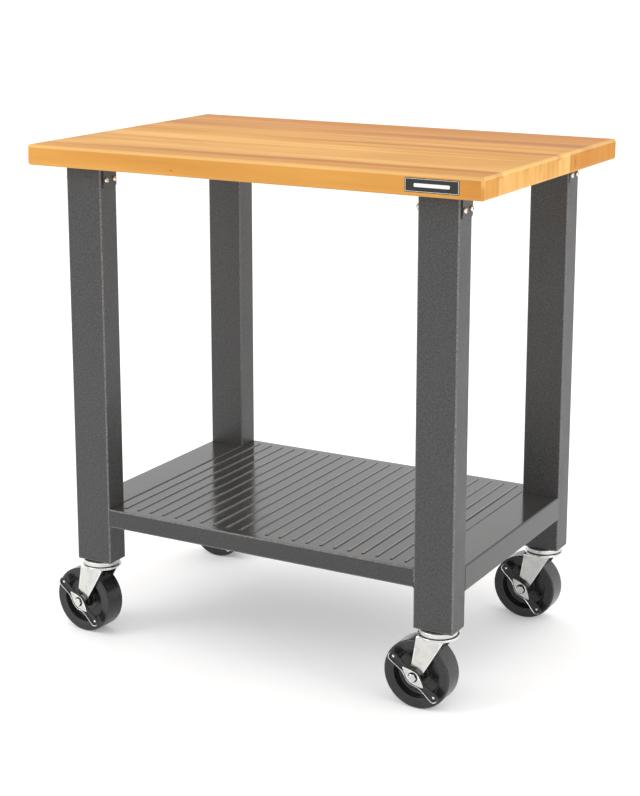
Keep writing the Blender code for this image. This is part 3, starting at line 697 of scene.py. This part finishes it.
def slab(outer, inner):
    """A closed solid between two grids of points, each a list of equally long rows."""
    bm = bmesh.new()
    faces = [[[bm.verts.new(point) for point in row] for row in grid] for grid in (outer, inner)]
    rows, columns = len(outer), len(outer[0])
    for grid in faces:
        for i in range(rows - 1):
            for j in range(columns - 1):
                bm.faces.new((grid[i][j], grid[i][j + 1], grid[i + 1][j + 1], grid[i + 1][j]))
    front, back = faces
    rim = [(i, 0) for i in range(rows)] + [(rows - 1, j) for j in range(1, columns)]
    rim += [(i, columns - 1) for i in range(rows - 2, -1, -1)] + [(0, j) for j in range(columns - 2, 0, -1)]
    for (i, j), (k, m) in zip(rim, rim[1:] + rim[:1]):
        bm.faces.new((front[i][j], front[k][m], back[k][m], back[i][j]))
    return bm


def hex_solid(across, low, high, chamfer=0.0008):
    """A hexagon along Z with its upper corners turned off."""
    corner = across / sqrt(3)
    skin = turned([(0, low - GAP), (corner + GAP, low - GAP), (corner + GAP, high - chamfer),
                   (across / 2 * 0.96, high), (0, high)], 48)
    return combined(prism(circle(corner, 6), low, high), skin, "INTERSECT")


def threaded(radius, start, end):
    """Profile points along a threaded bar, from one height to another, its first point left out."""
    count = max(1, int(abs(end - start) / THREAD_PITCH))
    step = (end - start) / count
    points = []
    for index in range(count):
        points += [(radius, start + step * index), (radius - THREAD_DEPTH, start + step * (index + 0.5))]
    return points[1:]


# ---- wood top and nameplate

def make_tabletop():
    low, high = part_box("tabletop")
    plate_low, plate_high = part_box("nameplate")
    block = prism([(low.x, low.y), (high.x, low.y), (high.x, high.y), (low.x, high.y)], low.z, high.z)
    board = beveled(block, ROUNDOVER, 7)
    opening = front_outline(plate_low, plate_high, -GAP, PLATE_CORNER + GAP)
    pocket = prism(opening, low.y - ROUNDOVER, plate_high.y + GAP, "Y")
    piece("wood_top", combined(board, pocket), "maple", ["tabletop"])


def make_nameplate():
    """A blank plate: a raised border and one plain bar, with no lettering."""
    low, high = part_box("nameplate")
    front = low.y + PLATE_RELIEF
    body = prism(front_outline(low, high, 0, PLATE_CORNER), high.y, front, "Y")
    piece("plate_body", beveled(body, PLATE_EDGE, 2, 60), "plate", ["nameplate"])
    rings = []
    inner = PLATE_MARGIN + PLATE_LINE
    for inset, y in ((PLATE_MARGIN, front), (PLATE_MARGIN, low.y), (inner, low.y), (inner, front)):
        outline = front_outline(low, high, inset, PLATE_CORNER - inset / 2)
        rings.append(at_depth(outline, -y))
    center = (low + high) / 2
    half_width, half_height = (high.x - low.x) * BAR_SHARES[0], (high.z - low.z) * BAR_SHARES[1]
    bar = rounded_rectangle(center.x - half_width, center.x + half_width, center.z - half_height,
                            center.z + half_height, half_height * 0.6)
    piece("plate_border_and_bar", joined(loops(rings, closed=True), prism(bar, front, low.y, "Y")), "print")


# ---- frame

def make_leg(name):
    """Rectangular tube with round corners and a rounded foot."""
    low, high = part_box("leg_" + name)
    rings = []
    for angle in range(0, 91, 18):
        turn = radians(angle)
        inset = FOOT_ROUND * (1 - sin(turn))
        z = low.z + FOOT_ROUND * (1 - cos(turn))
        outline = rounded_rectangle(low.x + inset, high.x - inset, low.y + inset, high.y - inset,
                                    TUBE_CORNER - inset)
        rings.append([(u, v, z) for u, v in outline])
    rings.append([(u, v, high.z) for u, v in outline])
    piece("leg_tube_" + name, loops(rings), "paint", ["leg_" + name])


def make_bracket(name):
    """Bent saddle under the wood, with round lower corners on its flanges."""
    low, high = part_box("bracket_" + name)
    bend, sheet, corner = BRACKET_BEND, BRACKET_SHEET, BRACKET_CORNER
    right, left = (high.x - bend, high.z - bend), (low.x + bend, high.z - bend)
    outline = [(high.x, low.z)] + arc(right, bend, 0, 90, 5) + arc(left, bend, 90, 180, 5)
    outline += [(low.x, low.z), (low.x + sheet, low.z)]
    outline += arc(left, bend - sheet, 180, 90, 5) + arc(right, bend - sheet, 90, 0, 5)
    saddle = prism(outline + [(high.x - sheet, low.z)], low.y, high.y, "Y")
    trim = [(high.y, high.z + sheet), (low.y, high.z + sheet)]
    trim += arc((low.y + corner, low.z + corner), corner, 180, 270, 8)
    trim += arc((high.y - corner, low.z + corner), corner, 270, 360, 8)
    shape = combined(saddle, prism(trim, low.x - sheet, high.x + sheet, "X"), "INTERSECT")
    piece("saddle_" + name, beveled(shape, BRACKET_EDGE, 2, 50), "paint", ["bracket_" + name])


def make_bracket_bolt(name, place):
    """Button-head bolt with a hexagon socket, and the nut on its threaded end."""
    node = f"bracket_bolt_{name}_{place}"
    low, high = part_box(node)
    flange_low, flange_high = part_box("bracket_" + name)
    seat, side = flange_high.x + GAP, BOLT_HEAD_SIDE
    nut_face = flange_low.x - FLANGE_NUT_HEIGHT
    profile = [(0, high.x)]
    for degrees in range(70, -1, -10):
        turn = radians(degrees)
        profile.append((BOLT_HEAD_RADIUS * cos(turn) ** 0.7,
                        seat + side + (high.x - seat - side) * sin(turn)))
    profile += [(BOLT_HEAD_RADIUS, seat), (BOLT_RADIUS, seat), (BOLT_RADIUS, nut_face)]
    profile += threaded(BOLT_RADIUS, nut_face, low.x + side) + [(BOLT_RADIUS - POINT, low.x), (0, low.x)]
    socket = prism(circle(SOCKET_ACROSS / sqrt(3), 6), high.x - SOCKET_DEPTH, high.x + PAST)
    bolt = moved(combined(turned(profile, 32), socket), lying(low, high, 0, 1))
    piece(f"button_bolt_{name}_{place}", bolt, "zinc", [node])
    start = GAP - flange_low.x
    nut = hex_solid(FLANGE_NUT_ACROSS, start, start + FLANGE_NUT_HEIGHT)
    bore = prism(circle(BOLT_RADIUS + GAP, 24), start - PAST, start + 2 * FLANGE_NUT_HEIGHT)
    piece(f"flange_nut_{name}_{place}", moved(combined(nut, bore), lying(low, high, 0, -1)), "zinc")


def make_beam(side):
    node = "side_beam_" + side
    low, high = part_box(node)
    tube = prism(front_outline(low, high, 0, BEAM_CORNER), low.y, high.y, "Y")
    piece("beam_tube_" + side, tube, "beam_paint", [node], wear_and_highlight_rule=unmarked)


# ---- shelf pan

def rib_profile(share):
    """A smooth rise from 0 to 1 as the share goes from 0 to 1, and level beyond."""
    share = max(0.0, min(1.0, share))
    return share * share * (3 - 2 * share)


def pan_path(half, top, foot, inward):
    """(distance from the middle, height) down one folded side of the pan, set inward by a distance."""
    bend = PAN_BEND
    radius = bend - inward
    points = arc((half - bend, top - bend), radius, 90, 0, 4)
    points += arc((half - bend, foot + bend), radius, 0, -90, 4)
    return points + [(half - PAN_HEM, foot + inward)]


def make_shelf():
    """Ribbed top sheet folded down at the front and back, with a hem along each lip."""
    low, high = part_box("shelf")
    top = high.z - RIB_HEIGHT
    rib_end = high.y - RIB_MARGIN
    columns = shelf_columns(low.x, high.x)
    flats = [rib_end - RIB_END * k / 5 for k in range(6)] + [0.0]
    grids = []
    for inward in (0.0, PAN_SHEET):
        back = pan_path(high.y, top, low.z, inward)[::-1] + [(y, top - inward) for y in flats]
        grid = []
        for y, z in [(-y, z) for y, z in back] + back[-2::-1]:
            rise = RIB_HEIGHT * rib_profile((rib_end - abs(y)) / RIB_END)
            grid.append([(x, y, z + rise * rib_share(x) - side_fall(high.x - abs(x))) for x in columns])
        grids.append(grid)

    def pan_wear_and_highlight(face):
        """The folds of the lips are marked like any edge, with wear and painted highlight, and the crests of
        the ribs carry a painted highlight.
        """
        center = face.calc_center_median()
        if abs(center.y) > high.y - 2 * PAN_BEND:
            return narrow_turned(face)
        # The crest of each rib is painted paler: a painted highlight along it.
        return RIB_CREST_HIGHLIGHT if center.z > top + 0.86 * RIB_HEIGHT else 0.0

    piece("shelf_pan", slab(*grids), "shelf_paint", ["shelf"], smooth=30, wear_and_highlight_rule=pan_wear_and_highlight)
    for side, title in ((-1, "left"), (1, "right")):
        ends = []
        for inward in (0.0, PAN_SHEET):
            fold = pan_path(high.x, top + PAN_BEND, low.z, inward)[4:]
            fold[0] = (fold[0][0], top - PAN_SHEET)
            ends.append([[(side * x, y, z) for y in (low.y + 2 * PAN_BEND, high.y - 2 * PAN_BEND)]
                         for x, z in fold])
        piece("shelf_end_" + title, slab(*ends), "shelf_paint")


def shelf_columns(left, right):
    """Places along X where the sheet has a line of points: its two side edges and across each rib."""
    rolled = [PAN_SIDE_ROUND * (1 - cos(radians(a))) for a in (0, 30, 60, 90)]
    columns = [left + inset for inset in rolled]
    for index in range(RIB_COUNT):
        middle = (index - (RIB_COUNT - 1) / 2) * RIB_PITCH
        columns += [middle + RIB_WIDTH * (k / 12 - 0.5) for k in range(13)]
    return columns + [right - inset for inset in reversed(rolled)]


def side_fall(inset):
    """How far the sheet has rolled down at a distance inside its left or right edge."""
    share = max(0.0, 1 - inset / PAN_SIDE_ROUND)
    return PAN_SIDE_ROUND * (1 - sqrt(1 - share * share))


def rib_share(x):
    """How high the rib nearest to x stands there, from 0 to 1."""
    place = x / RIB_PITCH + (RIB_COUNT - 1) / 2
    nearest = min(max(round(place), 0), RIB_COUNT - 1)
    away = abs(place - nearest) * RIB_PITCH
    half = RIB_WIDTH / 2
    if away >= half:
        return 0.0
    radius = (half ** 2 + RIB_HEIGHT ** 2) / (2 * RIB_HEIGHT)
    return 1 - (radius - sqrt(radius ** 2 - away ** 2)) / RIB_HEIGHT


def make_shelf_screw(side, place):
    """Pan-head screw with a cross recess, inside the pan."""
    node = f"shelf_screw_{side}_{place}"
    low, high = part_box(node)
    length, radius, ease = high.x - low.x, (high.y - low.y) / 2, SCREW_HEAD_ROUND
    under = length - SCREW_HEAD_HEIGHT
    profile = [(0, length)] + arc((radius - ease, length - ease), ease, 90, 0, 4)
    profile += [(radius, under), (SCREW_RADIUS, under)]
    profile += threaded(SCREW_RADIUS, under - PAST, 2 * PAST) + [(0, 0)]
    shape = turned(profile, 24)
    for half_x, half_y in ((CROSS_REACH, CROSS_HALF), (CROSS_HALF, CROSS_REACH)):
        arm = rounded_rectangle(-half_x, half_x, -half_y, half_y, 0.4 * CROSS_HALF, 2)
        shape = combined(shape, prism(arm, length - CROSS_DEPTH, length + PAST))
    place_at = lying(low, high, low.x, 1) if side == "left" else lying(low, high, high.x, -1)
    piece(f"pan_screw_{side}_{place}", moved(shape, place_at), "zinc", [node])


# ---- casters

class Caster:
    """Places of one caster: its kingpin frame, its axle frame and its lever tilt."""

    def __init__(self, name):
        swivel, spin, brake = (joints[kind + name] for kind in ("swivel_", "spin_", "brake_"))
        turn = Matrix.Rotation(atan2(-spin["axis"][0], spin["axis"][1]), 4, "Z")
        x, y, _ = swivel["pos_m"]
        self.name = name
        self.kingpin = Matrix.Translation((x, y, 0)) @ turn
        self.axle = Matrix.Translation(spin["pos_m"]) @ turn
        self.along_axle = self.axle @ Matrix.Rotation(-pi / 2, 4, "X")
        tilt = radians(LEVER_LIMIT_TILT - brake["range_deg"][1])
        self.lever = self.axle @ Matrix.Rotation(tilt, 4, "Y")
        self.body, self.wheel, self.brake = (joint["child"] for joint in (swivel, spin, brake))

    def add(self, title, bm, place, body, stands_for=None, finish="zinc", **options):
        """Move a mesh from one of the caster's frames into place and store it as a piece."""
        nodes = [f"{stands_for}_{self.name}"] if stands_for else []
        piece(f"{title}_{self.name}", moved(bm, place), finish, nodes, body, **options)


def make_stem(caster, race_top):
    """Top race, kingpin and rivet, with the stem up inside the leg."""
    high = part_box("caster_stem_" + caster.name)[1].z
    foot = race_top - RACE_THICKNESS
    crown_under = foot - RACE_LIFT - FORK_SHEET
    inside, lip = RACE_RADIUS - LIP_WIDTH, foot - LIP_DROP
    profile = [(0, high), (STEM_RADIUS - POINT, high), (STEM_RADIUS, high - POINT), (STEM_RADIUS, race_top)]
    profile += arc((RACE_RADIUS - RACE_EDGE, race_top - RACE_EDGE), RACE_EDGE, 90, 0, 5)
    profile += [(RACE_RADIUS, lip + LIP_EDGE), (RACE_RADIUS - LIP_EDGE, lip), (inside + LIP_EDGE, lip),
                (inside, lip + LIP_EDGE), (inside, foot), (KINGPIN_RADIUS, foot),
                (KINGPIN_RADIUS, crown_under - GAP)]
    profile += arc((RIVET_RADIUS - RIVET_ROUND, crown_under - GAP - RIVET_ROUND), RIVET_ROUND, 90, 0, 4)
    profile += [(RIVET_RADIUS - 0.0005, crown_under - RIVET_SIDE),
                (RIVET_RADIUS - RIVET_SIDE, crown_under - RIVET_HEIGHT), (0, crown_under - RIVET_HEIGHT)]
    caster.add("race_and_kingpin", turned(profile, 96), caster.kingpin, "root", "caster_stem")


def make_balls(caster, crown_top):
    """The ring of balls between crown and race, with its thin cage."""
    level = crown_top + BALL_RADIUS + GAP
    whole = turned([(BALL_CIRCLE + CAGE_HALF_WIDTH * u, level + CAGE_HALF_HEIGHT * v)
                    for u, v in ((-1, -1), (1, -1), (1, 1), (-1, 1))], 64)
    for x, y in circle(BALL_CIRCLE, BALL_COUNT):
        bmesh.ops.create_uvsphere(whole, u_segments=14, v_segments=8, radius=BALL_RADIUS,
                                  matrix=Matrix.Translation((x, y, level)))
    caster.add("ball_bearing", whole, caster.kingpin, caster.body, "ball_ring")


def fork_edges(z, wheel_radius, crown_top):
    """Trailing and leading edge of a fork side at a height: straight to the eye, then round it."""
    edges = []
    for side, top_x in ((-1, -FORK_BACK), (1, FORK_FRONT)):
        dx, dz = top_x + TRAIL, crown_top - wheel_radius
        touch = atan2(dz, dx) - side * acos(FORK_EYE / hypot(dx, dz))
        touch_x, touch_z = -TRAIL + FORK_EYE * cos(touch), wheel_radius + FORK_EYE * sin(touch)
        if z >= touch_z:
            edges.append(touch_x + (z - touch_z) / (crown_top - touch_z) * (top_x - touch_x))
        else:
            drop = min(FORK_EYE * 0.998, abs(z - wheel_radius))
            edges.append(-TRAIL + side * sqrt(FORK_EYE ** 2 - drop ** 2))
    return edges


def fork_side(wheel_radius, crown_top, side):
    """One pressed side of the fork: a lightly creased sheet that bends in under the crown."""
    bend_z = crown_top - FORK_BEND
    bend_at = (FORK_OUTER - FORK_BEND, bend_z)
    levels = [wheel_radius - FORK_EYE * cos(radians(a)) for a in range(3, 91, 12)]
    levels += [wheel_radius + (bend_z - wheel_radius) * k / 12 for k in range(1, 13)]
    outer = [(FORK_OUTER, z) for z in levels] + arc(bend_at, FORK_BEND, 0, 90, 6)[1:]
    inner = [(FORK_INNER, z) for z in levels] + arc(bend_at, FORK_BEND - FORK_SHEET + GAP, 0, 90, 6)[1:]
    outer.append((FORK_OUTER - 2 * FORK_BEND, crown_top - GAP))
    inner.append((FORK_OUTER - 2 * FORK_BEND, inner[-1][1]))
    shares = [k / 20 for k in range(21)]
    grids = []
    for path in (outer, inner):
        grid = []
        for (y, z), (_, level) in zip(path, outer):
            back, front = fork_edges(min(level, crown_top), wheel_radius, crown_top)
            fade = min((level - wheel_radius - 0.008) / 0.020, (bend_z + 0.004 - level) / 0.016)
            fall = FORK_FALL * rib_profile(fade)
            grid.append([(back + share * (front - back), side * (y - fall * abs(share - FORK_CREASE)), z)
                         for share in shares])
        grids.append(grid)
    return slab(*grids)


def make_fork(caster, wheel_radius, crown_under):
    """Two pressed sides joined to a round crown, whose rim is rolled above a groove."""
    crown_top, ease = crown_under + FORK_SHEET, CROWN_ROUND
    bead, groove = CROWN_RADIUS - CROWN_BEAD, CROWN_RADIUS - 0.0020
    profile = [(KINGPIN_RADIUS + GAP, crown_under), (groove - ease, crown_under)]
    profile += arc((groove, crown_under + ease), ease, -90, 30, 5)
    profile += [(groove + GAP, crown_under + 0.0026)]
    profile += arc((bead, crown_top + CROWN_RIM_RISE - CROWN_BEAD), CROWN_BEAD, -30, 180, 9)
    profile += [(bead - 0.0017, crown_top - GAP), (KINGPIN_RADIUS + GAP, crown_top - GAP)]
    whole = turned(profile, 96)
    for side in (-1, 1):
        sheet = beveled(fork_side(wheel_radius, crown_top, side), FORK_EDGE, 2, 50)
        whole = combined(whole, sheet, "UNION")
    reach = FORK_OUTER + PAST
    bore = prism(circle(AXLE_RADIUS + GAP, 32, (-TRAIL, wheel_radius)), -reach, reach, "Y")
    caster.add("caster_fork", combined(whole, bore), caster.kingpin, caster.body, "fork")


def make_wheel(caster, wheel_radius):
    """Wheel about its axle: flat outer band, dished web with a step ring, and a hub."""
    half, ease, lip = WHEEL_RIM_HALF, HUB_ROUND, BAND_LIP
    band_in = wheel_radius - WHEEL_BAND
    web = half - WHEEL_FLOOR
    face = [(BUSH_RADIUS + GAP, HUB_HALF - POINT), (BUSH_RADIUS + 0.0011, HUB_HALF)]
    face += arc((HUB_RADIUS - ease, HUB_HALF - ease), ease, 90, 8, 4)
    face += [(HUB_RADIUS + 0.0012, web + 0.0028)]
    face += arc((HUB_RADIUS + 0.0032, web + HUB_FILLET), HUB_FILLET, 190, 270, 4)
    face += [(STEP_IN, web + SINK), (STEP_IN + 0.0005, web + STEP_RISE), (STEP_OUT - 0.0006, web + STEP_RISE),
             (STEP_OUT, web + SINK)]
    face += arc((band_in - 0.0085, web + BAND_FILLET), BAND_FILLET, 270, 325, 5)
    face += arc((band_in - 0.0006, half - 0.0022), lip, 150, 92, 5)
    face += arc((wheel_radius - TREAD_ROUND, half - TREAD_ROUND), TREAD_ROUND, 90, 0, 8)
    face += [(wheel_radius, half * 0.5)]
    profile = face + [(radius, -height) for radius, height in reversed(face)]
    caster.add("caster_wheel", turned(profile, 128), caster.along_axle, caster.wheel, "wheel", "wheel",
               smooth=30)


def make_axle_bolt(caster):
    """Hex bolt, its head in front of the lever and its threaded end behind the nut."""
    head_back = LEVER_FLOOR + LEVER_SHEET + GAP
    head_front = head_back + NUT_HEIGHT
    head = moved(hex_solid(NUT_ACROSS, head_back, head_front, 0.0011), Matrix.Rotation(pi, 4, "X"))
    nut_start = FORK_OUTER + GAP
    tail = nut_start + NUT_HEIGHT + 2 * PAST
    shank = [(0, 2 * PAST - head_front), (AXLE_RADIUS, 2 * PAST - head_front), (AXLE_RADIUS, nut_start)]
    shank += threaded(AXLE_RADIUS, nut_start, tail - 0.0006) + [(AXLE_RADIUS - AXLE_POINT, tail), (0, tail)]
    bolt = combined(head, turned(shank, 48), "UNION")
    caster.add("hex_bolt", bolt, caster.along_axle, caster.body, "axle_bolt", smooth=25)


def make_axle_nut(caster):
    """Lock nut: a hexagon with a round collar."""
    start = FORK_OUTER + GAP
    top, ease = start + NUT_HEIGHT, COLLAR_EDGE
    nut = hex_solid(NUT_ACROSS, start, start + NUT_HEX_SHARE * NUT_HEIGHT)
    collar = turned([(0, start + 0.5 * NUT_HEIGHT), (COLLAR_RADIUS, start + 0.5 * NUT_HEIGHT),
                     (COLLAR_RADIUS, start + 0.9 * NUT_HEIGHT), (COLLAR_RADIUS - ease, top), (0, top)], 48)
    bore = prism(circle(AXLE_RADIUS + GAP, 40), 0, top + PAST)
    nut = combined(combined(nut, collar, "UNION"), bore)
    caster.add("lock_nut", nut, caster.along_axle, caster.body, "axle_nut", smooth=25)


def make_bush(caster):
    end, inner, ease = FORK_INNER - GAP, AXLE_RADIUS + GAP, BUSH_EDGE
    ring = [(inner, -end), (BUSH_RADIUS - ease, -end), (BUSH_RADIUS, ease - end), (BUSH_RADIUS, end - ease),
            (BUSH_RADIUS - ease, end), (inner, end)]
    caster.add("hub_bush", turned(ring, 48), caster.along_axle, caster.body, "bush", "bronze")


def lever_half_width(x):
    """Half width of the lever at a distance from the axle: wide middle, slim neck, round paddle."""
    straight = LEVER_REACH - LEVER_TIP
    if x < LEVER_NECK_AT:
        share = 0.5 + 0.5 * cos(pi * x / LEVER_NECK_AT)
        return LEVER_NECK + share * (LEVER_WAIST - LEVER_NECK)
    share = 0.5 - 0.5 * cos(pi * (x - LEVER_NECK_AT) / (straight - LEVER_NECK_AT))
    return LEVER_NECK + share * (LEVER_TIP - LEVER_NECK)


def lever_outline(inset):
    """Outline of the lever drawn in by the inset, counter-clockwise from the lower right."""
    straight = LEVER_REACH - LEVER_TIP
    steps = 18
    places = [straight * (1 - i / steps) for i in range(1, 2 * steps)]
    upper = [(x, lever_half_width(abs(x)) - inset) for x in places]
    right = arc((straight, 0), LEVER_TIP - inset, -90, 90, 12)
    left = arc((-straight, 0), LEVER_TIP - inset, 90, 270, 12)
    return right + upper + left + [(-x, -width) for x, width in upper]


def make_lever_tray(caster):
    """Stamped tray with a rolled rim and a dark floor; the rim stays bright along its lower side, and along
    its upper side it gets the dark finish as a painted dark reflection.
    """
    floor_top = LEVER_FLOOR + LEVER_SHEET
    rim_top = floor_top + LEVER_RIM
    steps = ((0.0010, LEVER_FLOOR), (0.0003, LEVER_FLOOR + 0.0003), (0.0, LEVER_FLOOR + 0.0010),
             (0.0, rim_top - 0.0008), (0.0002, rim_top - 0.0003), (0.0007, rim_top),
             (0.0012, rim_top - 0.0003), (0.0014, rim_top - 0.0010),
             (0.0015, floor_top + 0.0012), (0.0019, floor_top + 0.0004), (0.0030, floor_top))
    bright_steps = 7
    rings = []
    for inset, depth in steps:
        low_depth, rise = min(depth, floor_top), max(0.0, depth - floor_top)
        rings.append([(x, -low_depth - rise * rim_share(z), z) for x, z in lever_outline(inset)])
    hole = AXLE_RADIUS + GAP
    around = [(hole * x / hypot(x, z), hole * z / hypot(x, z)) for x, z in lever_outline(0.0)]
    tray = loops(rings + [at_depth(around, floor_top), at_depth(around, LEVER_FLOOR)], closed=True)
    count = len(around)
    tray.faces.ensure_lookup_table()
    # Faces past the rim take the dark floor finish; rim faces on the upper side take it too, as a painted
    # dark reflection.
    for index, face in enumerate(tray.faces[:len(steps) * count]):
        if index >= bright_steps * count or face.calc_center_median().z > LEVER_PAINTED_REFLECTION_ABOVE:
            face.material_index = 1
    caster.add("lever_tray", tray, caster.lever, caster.brake, "brake_lever", smooth=50, extra=("paddle",))


def make_lever_middle(caster):
    """The raised middle with its round opening, and a rivet and a pip on each arm."""
    floor_top, steps = LEVER_FLOOR + LEVER_SHEET, 90
    rise_top, sunk = floor_top + DIAMOND_RISE, floor_top - SINK
    rings = []
    for shrink, depth in ((0.0, sunk), (0.0, rise_top - 0.0010), (0.0004, rise_top - 0.0003),
                          (0.0012, rise_top)):
        rings.append(at_depth([diamond(360 / steps * k, shrink) for k in range(steps)], depth))
    for ease, depth in ((0.0010, rise_top), (0.0002, rise_top - 0.0004), (0.0, rise_top - 0.0012),
                        (0.0, sunk)):
        rings.append(at_depth(circle(DIAMOND_HOLE + ease, steps), depth))
    parts = [loops(rings, closed=True)]
    for side in (-1, 1):
        for reach, radius, height in LEVER_RIVETS:
            dome = [(0, floor_top + height)]
            for degrees in range(18, 91, 18):
                turn = radians(degrees)
                dome.append((radius * sin(turn), floor_top + height * cos(turn)))
            dome += [(radius, sunk), (0, sunk)]
            parts.append(moved(turned(dome, 24), Matrix.Translation((side * reach, 0, 0)) @ TO_FRONT))
    caster.add("lever_middle", joined(*parts), caster.lever, caster.brake)


def make_lever_boss(caster):
    inner, back, ease = AXLE_RADIUS + GAP, FORK_OUTER + GAP, LEVER_BOSS_EDGE
    boss = turned([(inner, back), (LEVER_BOSS_RADIUS - ease, back), (LEVER_BOSS_RADIUS, back + ease),
                   (LEVER_BOSS_RADIUS, LEVER_FLOOR), (inner, LEVER_FLOOR)], 48)
    caster.add("lever_boss", boss, caster.lever @ TO_FRONT, caster.brake)


def rim_share(z):
    """Height of the lever's rim as a share: full along its lower side and low along its upper one."""
    share = rib_profile((z + LEVER_NECK) / (2 * LEVER_NECK))
    return 1 - share * (1 - LEVER_LOW_RIM)


def diamond(degrees, shrink):
    """A point on the raised middle's outline: a four-cornered curve, longer along the lever."""
    turn = radians(degrees)
    c, s = cos(turn), sin(turn)
    long, short = DIAMOND_HALF_LENGTH - 2 * shrink, DIAMOND_HALF_WIDTH - shrink
    reach = (abs(c / long) ** DIAMOND_POWER + abs(s / short) ** DIAMOND_POWER) ** (-1 / DIAMOND_POWER)
    return reach * c, reach * s


def make_casters():
    wheel_low, wheel_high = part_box("wheel_" + STRAIGHT_CASTER)
    wheel_radius = (wheel_high.z - wheel_low.z) / 2
    race_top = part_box("leg_" + STRAIGHT_CASTER)[0].z - GAP
    crown_under = race_top - RACE_THICKNESS - RACE_LIFT - FORK_SHEET
    for name in CORNERS:
        caster = Caster(name)
        make_stem(caster, race_top)
        make_balls(caster, crown_under + FORK_SHEET)
        make_fork(caster, wheel_radius, crown_under)
        make_wheel(caster, wheel_radius)
        for make in (make_axle_bolt, make_axle_nut, make_bush, make_lever_tray, make_lever_middle,
                     make_lever_boss):
            make(caster)


# ---- stage

def make_floor():
    """Pale floor with a slight glow of its own, which keeps the table's shadow light."""
    bm = bmesh.new()
    bmesh.ops.create_grid(bm, x_segments=1, y_segments=1, size=40.0)
    mesh = mesh_of(bm, "floor")
    floor = placed("floor", mesh)
    floor.location.z = -0.0002
    pale = Finish("pale_floor", 0.9, Specular_IOR_Level=0.1, Emission_Color=(1.0, 1.0, 1.0, 1.0),
                  Emission_Strength=0.20)
    grain = pale.noise(pale.place, 2.0, scale=3.0)
    mesh.materials.append(pale.finish(pale.ramp(grain, [(0.3, 0.90), (0.7, 0.93)])))


def make_world():
    """White backdrop; the light it sheds is weaker near the horizon, except behind the table."""
    world = bpy.data.worlds.new("studio")
    bpy.context.scene.world = world
    world.use_nodes = True
    sky = Nodes(world.node_tree)
    _, y, z = sky.split(sky.node("ShaderNodeTexCoord").outputs["Generated"])
    shed = sky.ramp(z, [(0.0, 0.30), (0.14, 0.35), (0.24, 1.25), (0.50, 1.10), (1.0, 0.90)])
    shed = sky.blend(sky.span(y, 0.25, 0.60), shed, (1.25, 1.25, 1.25), "LIGHTEN")
    seen = sky.node("ShaderNodeLightPath").outputs["Is Camera Ray"]
    sky.feed(sky.tree.nodes["Background"].inputs["Color"], sky.blend(seen, shed, (1.0, 1.0, 1.0)))


def add_softbox(name, place, target, size, power):
    light = bpy.data.lights.new(name, "AREA")
    light.shape = "RECTANGLE"
    light.size, light.size_y = size
    light.energy = power
    item = placed(name, light)
    item.location = place
    item.rotation_euler = (Vector(target) - Vector(place)).to_track_quat("-Z", "Y").to_euler()


def make_camera():
    data = bpy.data.cameras.new("camera")
    data.sensor_width = 36.0
    data.lens = CAMERA_LENS
    data.shift_y = CAMERA_SHIFT
    camera = placed("camera", data)
    camera.location = CAMERA_PLACE
    camera.rotation_euler = (radians(90 - CAMERA_PITCH), 0, radians(CAMERA_YAW))
    bpy.context.scene.camera = camera


make_tabletop()
make_nameplate()
for corner in CORNERS:
    make_leg(corner)
    make_bracket(corner)
    for bolt_place in ("a", "b"):
        make_bracket_bolt(corner, bolt_place)
make_beam("left")
make_beam("right")
make_shelf()
for beam_side in ("left", "right"):
    for beam_end in ("front", "back"):
        make_shelf_screw(beam_side, beam_end)
make_casters()

make_floor()
make_world()
add_softbox("key", (-2.2, -2.6, 2.6), (0, 0, 0.6), (2.0, 2.0), 40.0)
add_softbox("fill_right", (3.2, -0.6, 1.6), (0, 0, 0.5), (1.6, 2.2), 22.0)
add_softbox("overhead", (0.2, 0.2, 3.4), (0, 0, 0), (3.0, 3.0), 8.0)
make_camera()
bpy.context.scene.view_settings.view_transform = "Standard"
